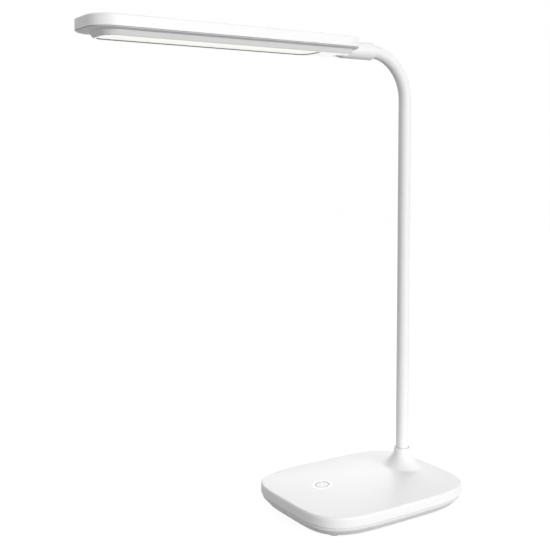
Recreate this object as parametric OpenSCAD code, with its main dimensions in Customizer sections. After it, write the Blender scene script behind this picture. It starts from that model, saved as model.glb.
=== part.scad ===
// Folding LED desk lamp: a pillow-shaped weighted base, a sleeved gooseneck stem
// with a quarter-circle bend, and a long flat light head held by a round socket.
// Millimetres, +Z up. The origin is on the table plane under the middle of the base.
// The stem stands at +X and the head reaches out towards -X.

/* [Base] */
// Length of the base along X
base_l = 161; // [150:1:190]
// Width of the base along Y
base_w = 124; // [110:1:150]
// Squareness of the base outline, 2 is an ellipse
base_power = 4.2; // [3:0.1:6]
// Height of the shell's lower edge above the table
shell_low_z = 9.8; // [9:0.1:12]
// Height of the straight side band of the shell
band_h = 6.4; // [5.5:0.1:9]
// Radius of the rounded rim above the band
rim_r = 1.9; // [1:0.1:3]
// Rise of the pillowed top above the rim
crown_h = 7.3; // [5:0.1:10]
// Wall thickness of the base shell
shell_wall = 2; // [1.6:0.1:2.6]
// Wall thickness of the lower pan
pan_wall = 1.8; // [1.5:0.1:2.2]
// Thickness of the pan's floor
pan_floor = 2; // [1.6:0.1:2.6]
// How far the pan's recessed band sits inside the shell's outline
pan_band_in = 1.9; // [1.5:0.1:2.2]
// How far the pan's lip sits inside the shell's outline
pan_lip_in = 1.2; // [0.8:0.1:1.6]
// Height of the pan's lip below the shell's lower edge
pan_lip_drop = 2.1; // [1.6:0.1:2.6]
// How far the pan's bottom edge sits inside the shell's outline
pan_foot_in = 5.8; // [4:0.1:7]

/* [Feet and ballast] */
// Diameter of a rubber foot
foot_d = 11; // [9:0.5:13]
// Height of a rubber foot below the pan
foot_h = 1.5; // [1.2:0.1:2.2]
// Depth of the recess that holds a foot
foot_seat = 0.8; // [0.5:0.1:1]
// Distance of a foot from the middle along X
foot_x = 60; // [56:0.5:62]
// Distance of a foot from the middle along Y
foot_y = 41; // [38:0.5:43]
// Length of the steel ballast plate
ballast_l = 104; // [80:1:106]
// Width of the steel ballast plate
ballast_w = 88; // [70:1:92]
// Thickness of the steel ballast plate
ballast_t = 5; // [3:0.5:5.5]

/* [Stem boss] */
// Distance of the stem from the middle of the base
stem_x = 46.5; // [40:0.5:50]
// Height of the boss's lip above the table
boss_z = 39.7; // [37:0.1:48]
// Outer diameter of the boss's neck ring
boss_d = 14.6; // [13.8:0.1:15.4]
// Height of the straight neck ring
boss_ring_h = 3.5; // [2.5:0.5:5]
// Radius of the boss's flared foot
flare_r = 21; // [19:0.5:22]
// Fullness of the flare: 1 is a cone, 2 a quarter ellipse
flare_power = 1.35; // [1.25:0.05:1.6]

/* [Key] */
// Distance of the key from the middle of the base, towards the front
key_x = 42; // [36:0.5:46]
// Diameter of the round key
key_d = 11.3; // [9:0.1:12]
// Gap between the key and its hole
key_gap = 0.3; // [0.2:0.05:0.4]
// Travel of the key when it is pressed
key_travel = 0.7; // [0.4:0.1:0.8]
// Diameter of the shallow dish round the key
dish_d = 17.8; // [15:0.1:20]
// Depth of the dish
dish_depth = 0.6; // [0.3:0.1:0.8]
// Diameter of the key's indicator window
window_d = 1.7; // [1.2:0.1:2.4]

/* [Gooseneck] */
// Outer diameter of the stem's soft sleeve
sleeve_d = 11; // [10.4:0.1:11.2]
// Inner diameter of the sleeve
sleeve_bore = 8; // [7.9:0.1:8.4]
// Outer diameter of the steel gooseneck core
core_d = 7.6; // [7:0.1:7.7]
// Bore of the gooseneck core
core_bore = 3.6; // [3.2:0.1:4.2]
// Diameter of the two-wire lead inside the stem
lead_d = 2.4; // [1.8:0.1:2.8]
// Height at which the stem's bend begins
bend_z = 349.4; // [335:0.5:360]
// Radius of the stem's bend
bend_r = 40; // [36:0.5:50]
// Height of the lowest bending point
first_pivot_z = 85; // [75:1:95]
// Distance between the bending points of the lower stem
pivot_pitch = 50; // [42:1:54]
// Radius of the ball faces where stem pieces meet
ball_r = 6; // [5.9:0.05:6.4]
// Gap between two ball faces
ball_gap = 0.3; // [0.2:0.05:0.4]

/* [Neck socket] */
// Outer diameter of the neck socket
socket_d = 15; // [14.4:0.1:16]
// How far the socket's mouth reaches past the end of the bend
socket_mouth = 1.5; // [1:0.5:4]
// Length of the socket
socket_l = 38; // [37:0.5:44]
// Length of the chamfer at the socket's mouth
mouth_chamfer = 1.2; // [0.6:0.1:2]
// Length of the tapered nose under the tray
nose_l = 6; // [4:0.5:8]

/* [Head] */
// Overall length of the head
head_l = 234; // [200:1:260]
// Overall width of the head
head_w = 51.6; // [48:0.2:58]
// Corner radius of the head, seen from above
head_corner = 17; // [14:0.5:19]
// Height of the head shell's side wall
head_wall_h = 8.4; // [7.6:0.1:10]
// Radius of the head's top edge
head_edge_r = 1.1; // [0.6:0.1:1.6]
// Wall thickness of the head shell
head_wall = 2; // [1.6:0.1:2.2]
// How far the socket's axis sits above the head shell's lower edge
axis_above_edge = 0.8; // [0.4:0.1:1.2]
// Depth of the light tray below the head shell's lower edge
tray_drop = 5.1; // [4.6:0.1:6]
// Width of the ledge beside the tray
ledge_side = 6.8; // [5.5:0.1:7.4]
// Width of the ledge at the tray's free end
ledge_free = 9; // [6:0.5:12]
// Width of the ledge at the tray's stem end
ledge_stem = 2.2; // [2:0.1:3]
// Fall of the ledge from the shell's edge to the tray
ledge_fall = 1; // [0.5:0.1:1.4]
// How far the tray's side tapers in
tray_taper = 2.9; // [2:0.1:3.2]
// Corner radius of the tray, seen from above
tray_corner = 13.4; // [11:0.1:14]
// Wall thickness of the tray
tray_wall = 1.2; // [1:0.1:1.4]
// Thickness of the tray's floor
tray_floor = 2; // [1.6:0.1:2.2]
// Width of the tray's rim round the diffuser
rim_w = 2.3; // [2.1:0.1:2.8]
// Length of the closed part of the tray beside the socket
tray_blank = 33.1; // [31:0.1:36]

/* [Lighting] */
// Thickness of the diffuser's face and flange each
diffuser_t = 1.2; // [1:0.1:1.4]
// Depth of the diffuser's face inside the rim
diffuser_recess = 0.8; // [0.4:0.1:0.8]
// Width of the light strip's board
led_board_w = 16; // [13:0.5:17]
// Thickness of the light strip's board
led_board_t = 1.2; // [1:0.1:1.6]
// Number of lights in each of the two rows
leds_per_row = 16; // [8:1:20]
// Length of a light
led_l = 3.5; // [2.8:0.1:4]
// Width of a light
led_w = 2.8; // [2:0.1:3]
// Thickness of a light
led_t = 0.7; // [0.5:0.1:0.9]

/* [Electronics] */
// Length of the control board
board_l = 58; // [50:1:62]
// Width of the control board
board_w = 32; // [28:1:36]
// Thickness of the control board
board_t = 1.6; // [1:0.1:2]
// Diameter of the power inlet's socket
inlet_d = 3.6; // [3.2:0.1:4]
// Distance of the power inlet from the middle plane
inlet_y = 14; // [13:0.5:20]
// Length of the power inlet's body
inlet_l = 11; // [9:0.5:13]

/* [Hidden] */
$fn = 64;

// Clearances and small shared sizes
fit = 0.3;          // between pieces that are seated but don't press
bore_fit = 0.05;    // round a screw, pin or threaded part in its hole
sleeve_fit = 0.4;   // between the sleeve and the bores that take it
cut = 1;            // how far a cutting shape runs past a face
outline_points = 72;
corner_steps = 10;
crown_rings = [0.93, 0.84, 0.73, 0.6, 0.46, 0.3, 0.14];
flare_steps = 10;

// Base heights
pan_low_z = foot_h;
pan_floor_z = pan_low_z + pan_floor;
pan_lip_z = shell_low_z - pan_lip_drop;
pan_band_z = shell_low_z - fit;
pan_rim_h = 3;
pan_rim_in = shell_wall + fit;
rim_z = shell_low_z + band_h + rim_r;
half_l = base_l / 2;
half_w = base_w / 2;

// Share of the way from the middle to the rim at a point of the base's top
function top_share(x, y) = pow(pow(abs(x) / (half_l - rim_r), base_power)
    + pow(abs(y) / (half_w - rim_r), base_power), 1 / base_power);
function top_z(x, y) = rim_z + crown_h * (1 - pow(top_share(x, y), 2));

// Key and switch heights. The dish and the key's face lie square to the sloping top
dish_z = top_z(key_x, 0);
key_tilt = atan(2 * crown_h * key_x / pow(half_l - rim_r, 2));
key_top_z = dish_z - dish_depth * 0.6;
key_cap_t = 2;
key_flange_r = key_d / 2 + key_gap + 0.9;
key_flange_t = 0.8;
key_pad_z = dish_z - dish_depth - 1.6;
key_flange_z = key_pad_z - fit - key_flange_t;
key_stem_r = 2;
switch_w = 6.2;
switch_h = 3.5;
plunger_r = 1.6;
plunger_h = 0.9;
plunger_depth = key_travel + 0.4;
switch_top_z = key_flange_z - key_travel - fit;
plunger_top_z = switch_top_z + plunger_h;
board_z = switch_top_z - switch_h;
board_low_z = board_z - board_t;
board_mid_x = -key_x + 10;
board_post_r = 2.5;
board_post_in_x = 4;
board_post_in_y = 7;
board_posts = [
    for (sx = [-1, 1])
        for (sy = [-1, 1])
            [board_mid_x + sx * (board_l / 2 - board_post_in_x), sy * (board_w / 2 - board_post_in_y)]
];
board_screw_l = 3.6;

// Parts soldered under the board
chip_w = 5;
chip_h = 1.2;
chip_x = board_mid_x - 4;
coil_r = 3;
coil_h = 2.8;
coil_x = board_mid_x + 6;
coil_y = 7;
capacitor_r = 2.5;
capacitor_h = 3.2;
capacitor_x = board_mid_x - 14;
capacitor_y = 8;
m2_r = 1;
m2_head_r = 1.9;
m2_head_h = 1.4;

// Base screws stand over the feet
m3_r = 1.4;
m3_head_r = 2.8;
m3_head_h = 1.8;
post_r = 3.6;
foot_top_z = pan_low_z + foot_seat;
screw_seat_z = foot_top_z + fit + m3_head_h;
pan_boss_t = 2.2;
base_screw_bite = 6.5;
pan_boss_z = screw_seat_z + pan_boss_t;
base_screw_end_z = pan_boss_z + base_screw_bite;

// Ballast plate and the stakes that hold it
ballast_corner = 10;
ballast_top_z = pan_floor_z + ballast_t;
stake_r = 1.8;
stake_head_r = 3.2;
stake_head_h = 1;
stake_x = ballast_l / 2 - 8;
stake_y = 30;

// Stem boss, ferrule and nut
boss_bore_r = sleeve_d / 2 + sleeve_fit;
boss_floor_z = boss_z - 12.7;
ring_low_z = boss_z - boss_ring_h;
neck_step = 0.25;
flare_sink = 1.2;
stem_tilt = atan(2 * crown_h * stem_x / pow(half_l - rim_r, 2));
washer_r = 8;
washer_t = 1.2;
nut_across = 13;
nut_h = 5;
boss_web_z = top_z(stem_x + washer_r, 0) - shell_wall - 0.4;
nut_z = boss_web_z - washer_t - nut_h;
ferrule_low_z = nut_z - 0.6;
ferrule_r = core_d / 2 + 0.15;
ferrule_hole_r = ferrule_r + bore_fit;
ferrule_flange_r = boss_bore_r - fit;
ferrule_flange_t = 2.9;
core_seat_z = boss_floor_z + ferrule_flange_t;

// Lead run inside the base
lead_run_z = ferrule_low_z - 1.8;
lead_elbow_r = 3;
lead_rise_r = 2;
lead_board_x = board_mid_x + board_l / 2 - 9;
lead_skin = 0.05;
lead_lap = 0.5;

// Inlet
inlet_w = 6.4;
inlet_h = inlet_d + 1.2;
inlet_z = shell_low_z + band_h / 2 - 0.1;
inlet_face_x = half_l * pow(1 - pow(inlet_y / half_w, base_power), 1 / base_power);
inlet_front_x = inlet_face_x - shell_wall - fit;
inlet_pin_r = 0.65;
inlet_depth = 8;
inlet_low_z = inlet_z - inlet_h / 2;
inlet_back_x = inlet_front_x - inlet_l;
inlet_lead_z = inlet_low_z + lead_d / 2;

// Plug block where the inlet's lead meets the board's edge
plug_block_l = 4;
plug_block_w = 5;
plug_block_x = board_mid_x + board_l / 2 - plug_block_l;
plug_block_low_z = inlet_lead_z - lead_d / 2;

// Gooseneck path: straight pieces end at these heights, curved ones at these angles
neck_end_pitch = (bend_z - first_pivot_z - 4 * pivot_pitch) / 2;
straight_ends = [
    core_seat_z,
    first_pivot_z,
    first_pivot_z + pivot_pitch,
    first_pivot_z + 2 * pivot_pitch,
    first_pivot_z + 3 * pivot_pitch,
    first_pivot_z + 4 * pivot_pitch,
    bend_z - neck_end_pitch,
    bend_z
];
bend_ends = [0, 28, 56, 90];
straight_count = len(straight_ends) - 1;
bend_x = stem_x - bend_r;
axis_z = bend_z + bend_r;

// Head heights and places
head_low_z = axis_z - axis_above_edge;
head_top_z = head_low_z + head_wall_h;
head_ceiling_z = head_top_z - head_wall;
socket_mouth_x = bend_x + socket_mouth;
socket_end_x = socket_mouth_x - socket_l;
socket_in_head = 13.3;
head_stem_x = socket_end_x + socket_in_head;
head_free_x = head_stem_x - head_l;
head_half = head_w / 2;
tray_low_z = head_low_z - tray_drop;
tray_floor_z = tray_low_z + tray_floor;
ledge_z = head_low_z - fit;
tray_top_z = ledge_z - ledge_fall;
flange_top_z = ledge_z + 1.3;
tray_rim_z = flange_top_z + 1;
flange_in = 1;
tray_rim_in = head_wall + fit;
tray_rim_t = 1.4;

// Socket, its ears and its ferrule
socket_r = socket_d / 2;
nose_r = socket_r - 1.4;
mouth_r = socket_r - 1.1;
tongue_top_z = head_ceiling_z - fit;
socket_bore_r = sleeve_d / 2 + sleeve_fit;
neck_flange_x = bend_x - fit;
neck_flange_t = 2;
neck_ferrule_end_x = socket_end_x + 8;
ear_post_h = 1.8;
ear_post_r = 2.6;
ear_top_z = head_ceiling_z - ear_post_h;
ear_t = 1.7;
ear_l = 8;
ear_x = socket_end_x + 1 + ear_l / 2;
ear_y = 14;
ear_hole_y = 10.8;
ear_screw_bite = 0.9;
grub_r = 1.2;
grub_x = socket_end_x + 9.8;

// Light strip, reflector and diffuser
diffuser_z = tray_low_z + diffuser_recess;
diffuser_flange_z = tray_floor_z;
diffuser_top_z = diffuser_flange_z + diffuser_t;
diffuser_lap = 0.8;
light_stem_x = head_stem_x - ledge_stem - tray_blank;
led_post_h = 2.8;
led_post_r = 2.4;
led_board_in_stem = 21.3;
led_board_in_free = 22.5;
led_board_top_z = head_ceiling_z - led_post_h;
led_board_low_z = led_board_top_z - led_board_t;
led_board_stem_x = head_stem_x - led_board_in_stem;
led_board_free_x = head_free_x + led_board_in_free;
led_row_y = 4.2;
reflector_low_z = diffuser_top_z + fit;
reflector_top_z = led_board_low_z - fit;
reflector_t = 0.8;
reflector_slope = 5;
reflector_in = 0.1;
reflector_in_free = 1;
reflector_lap = 2;
reflector_stem_x = light_stem_x + reflector_lap;
led_in_free = 6;
led_in_stem = 1;
led_free_x = led_board_free_x + led_in_free;
led_stem_x = reflector_stem_x - reflector_slope - reflector_t - led_l / 2 - led_in_stem;
led_screw_in_free = 12;
led_screw_in_stem = 24;
led_screw_shift = 1.5;
led_screw_bite = 0.6;
led_screw_xs = [
    led_board_free_x + led_screw_in_free,
    (led_board_free_x + led_board_stem_x) / 2 + led_screw_shift,
    led_board_stem_x - led_screw_in_stem
];
connector_l = 6;
connector_w = 5;
connector_in = 3;
connector_x = led_board_stem_x - connector_in - connector_l;

// ---------- Outlines and lofts ----------

// Superellipse outline at an inset, counter-clockwise
function pillow_outline(a, b, power, z) = [
    for (i = [0 : outline_points - 1])
        let (c = cos(360 * i / outline_points), s = sin(360 * i / outline_points))
            [a * sign(c) * pow(abs(c), 2 / power), b * sign(s) * pow(abs(s), 2 / power), z]
];
function base_ring(inset, z) = pillow_outline(half_l - inset, half_w - inset, base_power, z);
function crown_ring(share, drop) = pillow_outline((half_l - rim_r - drop) * share,
    (half_w - rim_r - drop) * share, 2 + (base_power - 2) * share,
    rim_z - drop + crown_h * (1 - share * share));

// Rounded rectangle from xa to xb with half width w and corner radius r
function round_outline(xa, xb, w, r, z) = [
    for (corner = [[xb - r, w - r, 0], [xa + r, w - r, 90], [xa + r, r - w, 180], [xb - r, r - w, 270]])
        for (i = [0 : corner_steps])
            let (a = corner[2] + 90 * i / corner_steps)
                [corner[0] + r * cos(a), corner[1] + r * sin(a), z]
];
function head_ring(inset, z) = round_outline(head_free_x + inset, head_stem_x - inset,
    head_half - inset, head_corner - inset, z);
function tray_ring(inset, z) = round_outline(head_free_x + ledge_free + inset,
    head_stem_x - ledge_stem - inset, head_half - ledge_side - inset, tray_corner - inset, z);
function light_ring(inset, z) = round_outline(head_free_x + ledge_free + tray_taper + rim_w + inset,
    light_stem_x - inset,
    head_half - ledge_side - tray_taper - rim_w - inset,
    tray_corner - tray_taper - rim_w - inset, z);

// Closed solid through a list of rings, lowest ring first
module loft(rings) {
    n = len(rings[0]);
    last = (len(rings) - 1) * n;
    points = [for (ring = rings) for (p = ring) p];
    sides = [
        for (k = [0 : len(rings) - 2])
            for (i = [0 : n - 1])
                let (a = k * n + i, b = k * n + (i + 1) % n)
                    for (face = [[a, a + n, b + n], [a, b + n, b]]) face
    ];
    low_cap = [for (i = [0 : n - 1]) i];
    top_cap = [for (i = [n - 1 : -1 : 0]) last + i];
    polyhedron(points = points, faces = concat([low_cap], sides, [top_cap]), convexity = 6);
}

module rod(r, z0, z1) {
    translate([0, 0, z0]) cylinder(r = r, h = z1 - z0);
}

module rod_x(r, x0, x1) {
    translate([x0, 0, axis_z]) rotate([0, 90, 0]) cylinder(r = r, h = x1 - x0);
}

module at_feet() {
    for (sx = [-1, 1])
        for (sy = [-1, 1])
            translate([sx * foot_x, sy * foot_y, 0]) children();
}

module at_board_posts() {
    for (p = board_posts) translate([p.x, p.y, 0]) children();
}

module at_stakes() {
    for (sx = [-1, 1])
        for (sy = [-1, 1])
            translate([sx * stake_x, sy * stake_y, 0]) children();
}

// ---------- Base ----------

// The boss's outline: a straight ring with a rounded lip over a plain core
module boss_profile() {
    ring_r = boss_d / 2;
    polygon([[0, boss_web_z], [washer_r + 1, boss_web_z], [washer_r + 1, boss_web_z + 1.5],
        [ring_r - neck_step, boss_web_z + 4], [ring_r - neck_step, ring_low_z + 0.2],
        [ring_r, ring_low_z + 0.5], [ring_r, boss_z - 0.7], [ring_r - 0.25, boss_z - 0.2],
        [ring_r - 0.6, boss_z], [0, boss_z]]);
}

// The boss's trumpet foot, square to the base's sloping top and sunk a little into it
module boss_flare() {
    depth = (ring_low_z - top_z(stem_x, 0)) * cos(stem_tilt) + flare_sink;
    neck_r = boss_bore_r + fit;
    bow = 2 / flare_power;
    translate([stem_x, 0, ring_low_z]) rotate([0, stem_tilt, 0]) rotate_extrude()
        polygon(concat(
            [[0, -depth]],
            [for (i = [0 : flare_steps])
                let (a = 90 * i / flare_steps)
                    [flare_r - (flare_r - neck_r) * pow(sin(a), bow), -depth * pow(cos(a), bow)]],
            [[0, 0]]));
}

module base_top_shell() {
    outer = concat(
        [base_ring(0, shell_low_z), base_ring(0, shell_low_z + band_h)],
        [for (a = [30, 60]) base_ring(rim_r * (1 - cos(a)), shell_low_z + band_h + rim_r * sin(a))],
        [crown_ring(1, 0)],
        [for (share = crown_rings) crown_ring(share, 0)]);
    inner = concat(
        [base_ring(shell_wall, shell_low_z - cut), base_ring(shell_wall, shell_low_z + band_h - 0.4)],
        [for (share = [1, 0.84, 0.6, 0.3]) crown_ring(share, shell_wall)]);
    color("white")
    difference() {
        union() {
            difference() {
                loft(outer);
                loft(inner);
            }
            translate([stem_x, 0, 0]) rotate_extrude() boss_profile();
            boss_flare();
            translate([-key_x, 0, 0]) rod(key_flange_r + 1.5, key_pad_z, dish_z - dish_depth - 0.2);
            at_feet() rod(post_r, pan_boss_z + fit, top_z(foot_x, foot_y) - shell_wall / 2);
            for (p = board_posts)
                translate([p.x, p.y, 0]) rod(board_post_r, board_z, top_z(p.x, p.y) - shell_wall / 2);
        }
        // bore for the stem and hole for its ferrule
        translate([stem_x, 0, 0]) rod(boss_bore_r, boss_floor_z, boss_z + cut);
        translate([stem_x, 0, 0]) rod(ferrule_hole_r, boss_web_z - cut, boss_floor_z + cut);
        // dish, key hole and the recess for the key's flange
        dish_r = (dish_d * dish_d / 4 + dish_depth * dish_depth) / (2 * dish_depth);
        translate([-key_x, 0, dish_z]) rotate([0, -key_tilt, 0])
            translate([0, 0, dish_r - dish_depth]) sphere(r = dish_r, $fn = 128);
        translate([-key_x, 0, 0]) rod(key_d / 2 + key_gap, key_pad_z - cut, dish_z + cut);
        translate([-key_x, 0, 0]) rod(key_flange_r + fit, key_pad_z - 2 * cut, key_pad_z);
        // pilot holes
        at_feet() rod(m3_r + bore_fit, pan_boss_z - cut, base_screw_end_z + fit);
        at_board_posts() rod(m2_r + bore_fit, board_z - cut, board_z + board_screw_l + fit);
        // power inlet
        translate([inlet_front_x - fit, inlet_y, inlet_z]) rotate([0, 90, 0])
            cylinder(r = inlet_d / 2 + fit, h = shell_wall + 3);
    }
}

module base_lower_pan() {
    outer = [
        base_ring(pan_foot_in, pan_low_z),
        base_ring(pan_foot_in - 0.4, pan_low_z + 0.25),
        base_ring(pan_lip_in + 0.2, pan_lip_z - 0.5),
        base_ring(pan_lip_in, pan_lip_z - 0.3),
        base_ring(pan_lip_in, pan_lip_z - 0.1),
        base_ring(pan_band_in, pan_lip_z),
        base_ring(pan_band_in, pan_band_z),
        base_ring(pan_rim_in, pan_band_z),
        base_ring(pan_rim_in, pan_band_z + pan_rim_h)
    ];
    inner = [
        base_ring(pan_foot_in + pan_wall, pan_floor_z),
        base_ring(pan_rim_in + pan_wall, pan_lip_z),
        base_ring(pan_rim_in + pan_wall, pan_band_z + pan_rim_h + cut)
    ];
    color("lightgray")
    difference() {
        union() {
            difference() {
                loft(outer);
                loft(inner);
            }
            at_feet() rod(post_r + 1.6, pan_floor_z - 0.5, pan_boss_z);
            at_stakes() rod(stake_r, pan_floor_z - 0.5, ballast_top_z + stake_head_h / 2);
            at_stakes() rod(stake_head_r, ballast_top_z, ballast_top_z + stake_head_h);
            translate([inlet_back_x + 1, inlet_y - 2, pan_floor_z - 0.5])
                cube([inlet_l - 4.5, 4, inlet_low_z - pan_floor_z + 0.5]);
        }
        at_feet() rod(foot_d / 2 + fit / 2, pan_low_z - cut, foot_top_z);
        at_feet() rod(m3_head_r + fit, foot_top_z - cut / 2, screw_seat_z);
        at_feet() rod(m3_r + fit, screw_seat_z - cut, pan_boss_z + cut);
        // relief for the power inlet in the rim
        translate([inlet_front_x - pan_wall - 2 * cut, inlet_y - inlet_w / 2 - fit,
            inlet_low_z - fit])
            cube([2 * pan_wall + 4 * cut, inlet_w + 2 * fit, inlet_h + 2 * fit]);
    }
}

module rubber_feet() {
    color("dimgray")
    at_feet() {
        rod(foot_d / 2 - 0.4, 0, 0.5);
        rod(foot_d / 2, 0.5, foot_top_z);
    }
}

module base_screws() {
    color("silver")
    at_feet() {
        rod(m3_head_r, screw_seat_z - m3_head_h, screw_seat_z);
        rod(m3_r, screw_seat_z, base_screw_end_z);
    }
}

module ballast_plate() {
    color("gray")
    difference() {
        translate([0, 0, pan_floor_z]) linear_extrude(ballast_t)
            offset(r = ballast_corner)
                square([ballast_l - 2 * ballast_corner, ballast_w - 2 * ballast_corner], center = true);
        at_stakes() rod(stake_r + fit, pan_floor_z - cut, ballast_top_z + cut);
    }
}

module key_cap() {
    color("white")
    translate([-key_x, 0, 0])
    difference() {
        union() {
            rod(key_d / 2, key_flange_z, key_top_z + 1);
            rod(key_flange_r, key_flange_z, key_flange_z + key_flange_t);
            rod(key_stem_r, plunger_top_z, key_flange_z + 0.1);
        }
        translate([0, 0, key_top_z]) rotate([0, -key_tilt, 0]) rod(key_d, 0, key_d);
        rod(window_d / 2 + bore_fit, key_top_z - key_cap_t, key_top_z + cut);
    }
}

module key_light_pipe() {
    color("whitesmoke")
    translate([-key_x, 0, 0]) rod(window_d / 2, key_top_z - key_cap_t, key_top_z - 0.1);
}

module tactile_switch() {
    color("dimgray")
    translate([-key_x, 0, 0])
    difference() {
        translate([-switch_w / 2, -switch_w / 2, board_z]) cube([switch_w, switch_w, switch_h]);
        rod(plunger_r + 0.08, switch_top_z - plunger_depth, switch_top_z + cut);
    }
}

module switch_plunger() {
    color("black")
    translate([-key_x, 0, 0]) rod(plunger_r, switch_top_z - plunger_depth + key_travel + 0.1, plunger_top_z);
}

module control_board() {
    color("seagreen")
    difference() {
        translate([board_mid_x - board_l / 2, -board_w / 2, board_low_z])
            cube([board_l, board_w, board_t]);
        at_board_posts() rod(m2_r + 0.15, board_low_z - cut, board_z + cut);
    }
}

// Driver chip, coil, two capacitors and the inlet lead's plug block, under the board
module board_components() {
    color("darkslategray") {
        translate([chip_x - chip_w / 2, -chip_w / 2, board_low_z - chip_h])
            cube([chip_w, chip_w, chip_h]);
        translate([coil_x, coil_y, 0]) rod(coil_r, board_low_z - coil_h, board_low_z);
        for (sy = [-1, 1])
            translate([capacitor_x, sy * capacitor_y, 0])
                rod(capacitor_r, board_low_z - capacitor_h, board_low_z);
        translate([plug_block_x, inlet_y - plug_block_w / 2, plug_block_low_z])
            cube([plug_block_l, plug_block_w, board_low_z - plug_block_low_z]);
    }
}

module board_screws() {
    color("silver")
    at_board_posts() {
        rod(m2_head_r, board_low_z - m2_head_h, board_low_z);
        rod(m2_r, board_low_z, board_z + board_screw_l);
    }
}

module power_inlet() {
    color("dimgray")
    translate([inlet_front_x, inlet_y, inlet_z]) rotate([0, -90, 0])
    difference() {
        translate([-inlet_h / 2, -inlet_w / 2, 0]) cube([inlet_h, inlet_w, inlet_l]);
        difference() {
            translate([0, 0, -cut]) cylinder(r = inlet_d / 2, h = inlet_depth + cut);
            translate([0, 0, 0.4]) cylinder(r = inlet_pin_r, h = inlet_depth);
        }
    }
}

// Lead from the power inlet straight to its plug block on the control board
module inlet_lead() {
    lead_end_x = plug_block_x + plug_block_l;
    color("black")
    translate([lead_end_x, inlet_y, inlet_lead_z]) rotate([0, 90, 0])
        cylinder(r = lead_d / 2, h = inlet_back_x - lead_end_x);
}

// ---------- Stem ----------

module stem_ferrule() {
    color("silver")
    translate([stem_x, 0, 0])
    difference() {
        union() {
            rod(ferrule_r, ferrule_low_z, boss_floor_z + 0.5);
            rod(ferrule_flange_r, boss_floor_z, core_seat_z);
        }
        rod(core_bore / 2, ferrule_low_z - cut, core_seat_z + cut);
    }
}

module stem_washer() {
    color("silver")
    translate([stem_x, 0, 0])
    difference() {
        rod(washer_r, nut_z + nut_h, boss_web_z);
        rod(ferrule_hole_r + 0.2, nut_z, boss_web_z + cut);
    }
}

module stem_nut() {
    color("silver")
    translate([stem_x, 0, 0])
    difference() {
        translate([0, 0, nut_z]) cylinder(d = nut_across / cos(30), h = nut_h, $fn = 6);
        rod(ferrule_hole_r, nut_z - cut, nut_z + nut_h + cut);
    }
}

// Removes what lies past a ball face, for the end of a stem piece
module end_cutter() {
    difference() {
        cylinder(r = ball_r + 3, h = ball_r + 3);
        sphere(r = ball_r);
    }
}

// Straight piece number k of the gooseneck: ball end above, ball seat below
module straight_piece(k, outer_r, inner_r) {
    z0 = straight_ends[k - 1];
    z1 = straight_ends[k];
    translate([stem_x, 0, 0])
    difference() {
        rod(outer_r, z0, z1 + ball_r);
        if (inner_r > 0) rod(inner_r, z0 - cut, z1 + ball_r + cut);
        if (k > 1) translate([0, 0, z0]) sphere(r = ball_r + ball_gap);
        translate([0, 0, z1]) end_cutter();
    }
}

// Places its children on the bend at angle a, with +Z along the path
module on_bend(a) {
    translate([bend_x + bend_r * cos(a), 0, bend_z + bend_r * sin(a)])
        rotate([0, -a, 0]) children();
}

// Curved piece number k of the gooseneck, counted from the start of the bend
module bend_piece(k, outer_r, inner_r) {
    a0 = bend_ends[k - 1];
    a1 = bend_ends[k];
    last = k == len(bend_ends) - 1;
    sweep = a1 - a0 + (last ? 0 : 10);
    difference() {
        translate([bend_x, 0, bend_z]) rotate([90, 0, 0]) rotate([0, 0, a0])
            rotate_extrude(angle = sweep, $fn = 180) translate([bend_r, 0])
                difference() {
                    circle(r = outer_r, $fn = 48);
                    if (inner_r > 0) circle(r = inner_r, $fn = 48);
                }
        on_bend(a0) sphere(r = ball_r + ball_gap);
        if (!last) on_bend(a1) end_cutter();
    }
}

module gooseneck_piece(k, outer_r, inner_r) {
    if (k <= straight_count) straight_piece(k, outer_r, inner_r);
    else bend_piece(k - straight_count, outer_r, inner_r);
}

module stem_sleeve(k) {
    color("white") gooseneck_piece(k, sleeve_d / 2, sleeve_bore / 2);
}

module stem_core(k) {
    color("silver") gooseneck_piece(k, core_d / 2, core_bore / 2);
}

// The first stretch of the lead runs down through the ferrule and along the base
module first_lead_run() {
    rise_x = lead_board_x + lead_rise_r;
    translate([stem_x, 0, 0]) rod(lead_d / 2, lead_run_z + lead_elbow_r, core_seat_z);
    translate([stem_x - lead_elbow_r, 0, lead_run_z + lead_elbow_r]) rotate([90, 0, 0])
        rotate([0, 0, -90]) rotate_extrude(angle = 90) translate([lead_elbow_r, 0])
            circle(r = lead_d / 2, $fn = 32);
    translate([rise_x, 0, lead_run_z]) rotate([0, 90, 0])
        cylinder(r = lead_d / 2, h = stem_x - lead_elbow_r - rise_x);
    translate([rise_x, 0, lead_run_z + lead_rise_r]) rotate([90, 0, 0]) rotate([0, 0, 180])
        rotate_extrude(angle = 90) translate([lead_rise_r, 0]) circle(r = lead_d / 2, $fn = 32);
    translate([lead_board_x, 0, lead_run_z + lead_rise_r])
        cylinder(r = lead_d / 2, h = board_low_z - lead_run_z - lead_rise_r);
}

module stem_lead(k) {
    last = k == straight_count + len(bend_ends) - 1;
    color("black") {
        gooseneck_piece(k, lead_d / 2, 0);
        if (k == 1) first_lead_run();
        // inside the head the lead runs on without its outer skin
        if (last) rod_x(lead_d / 2 - lead_skin, connector_x + connector_l, bend_x + lead_lap);
    }
}

// ---------- Head ----------

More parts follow.
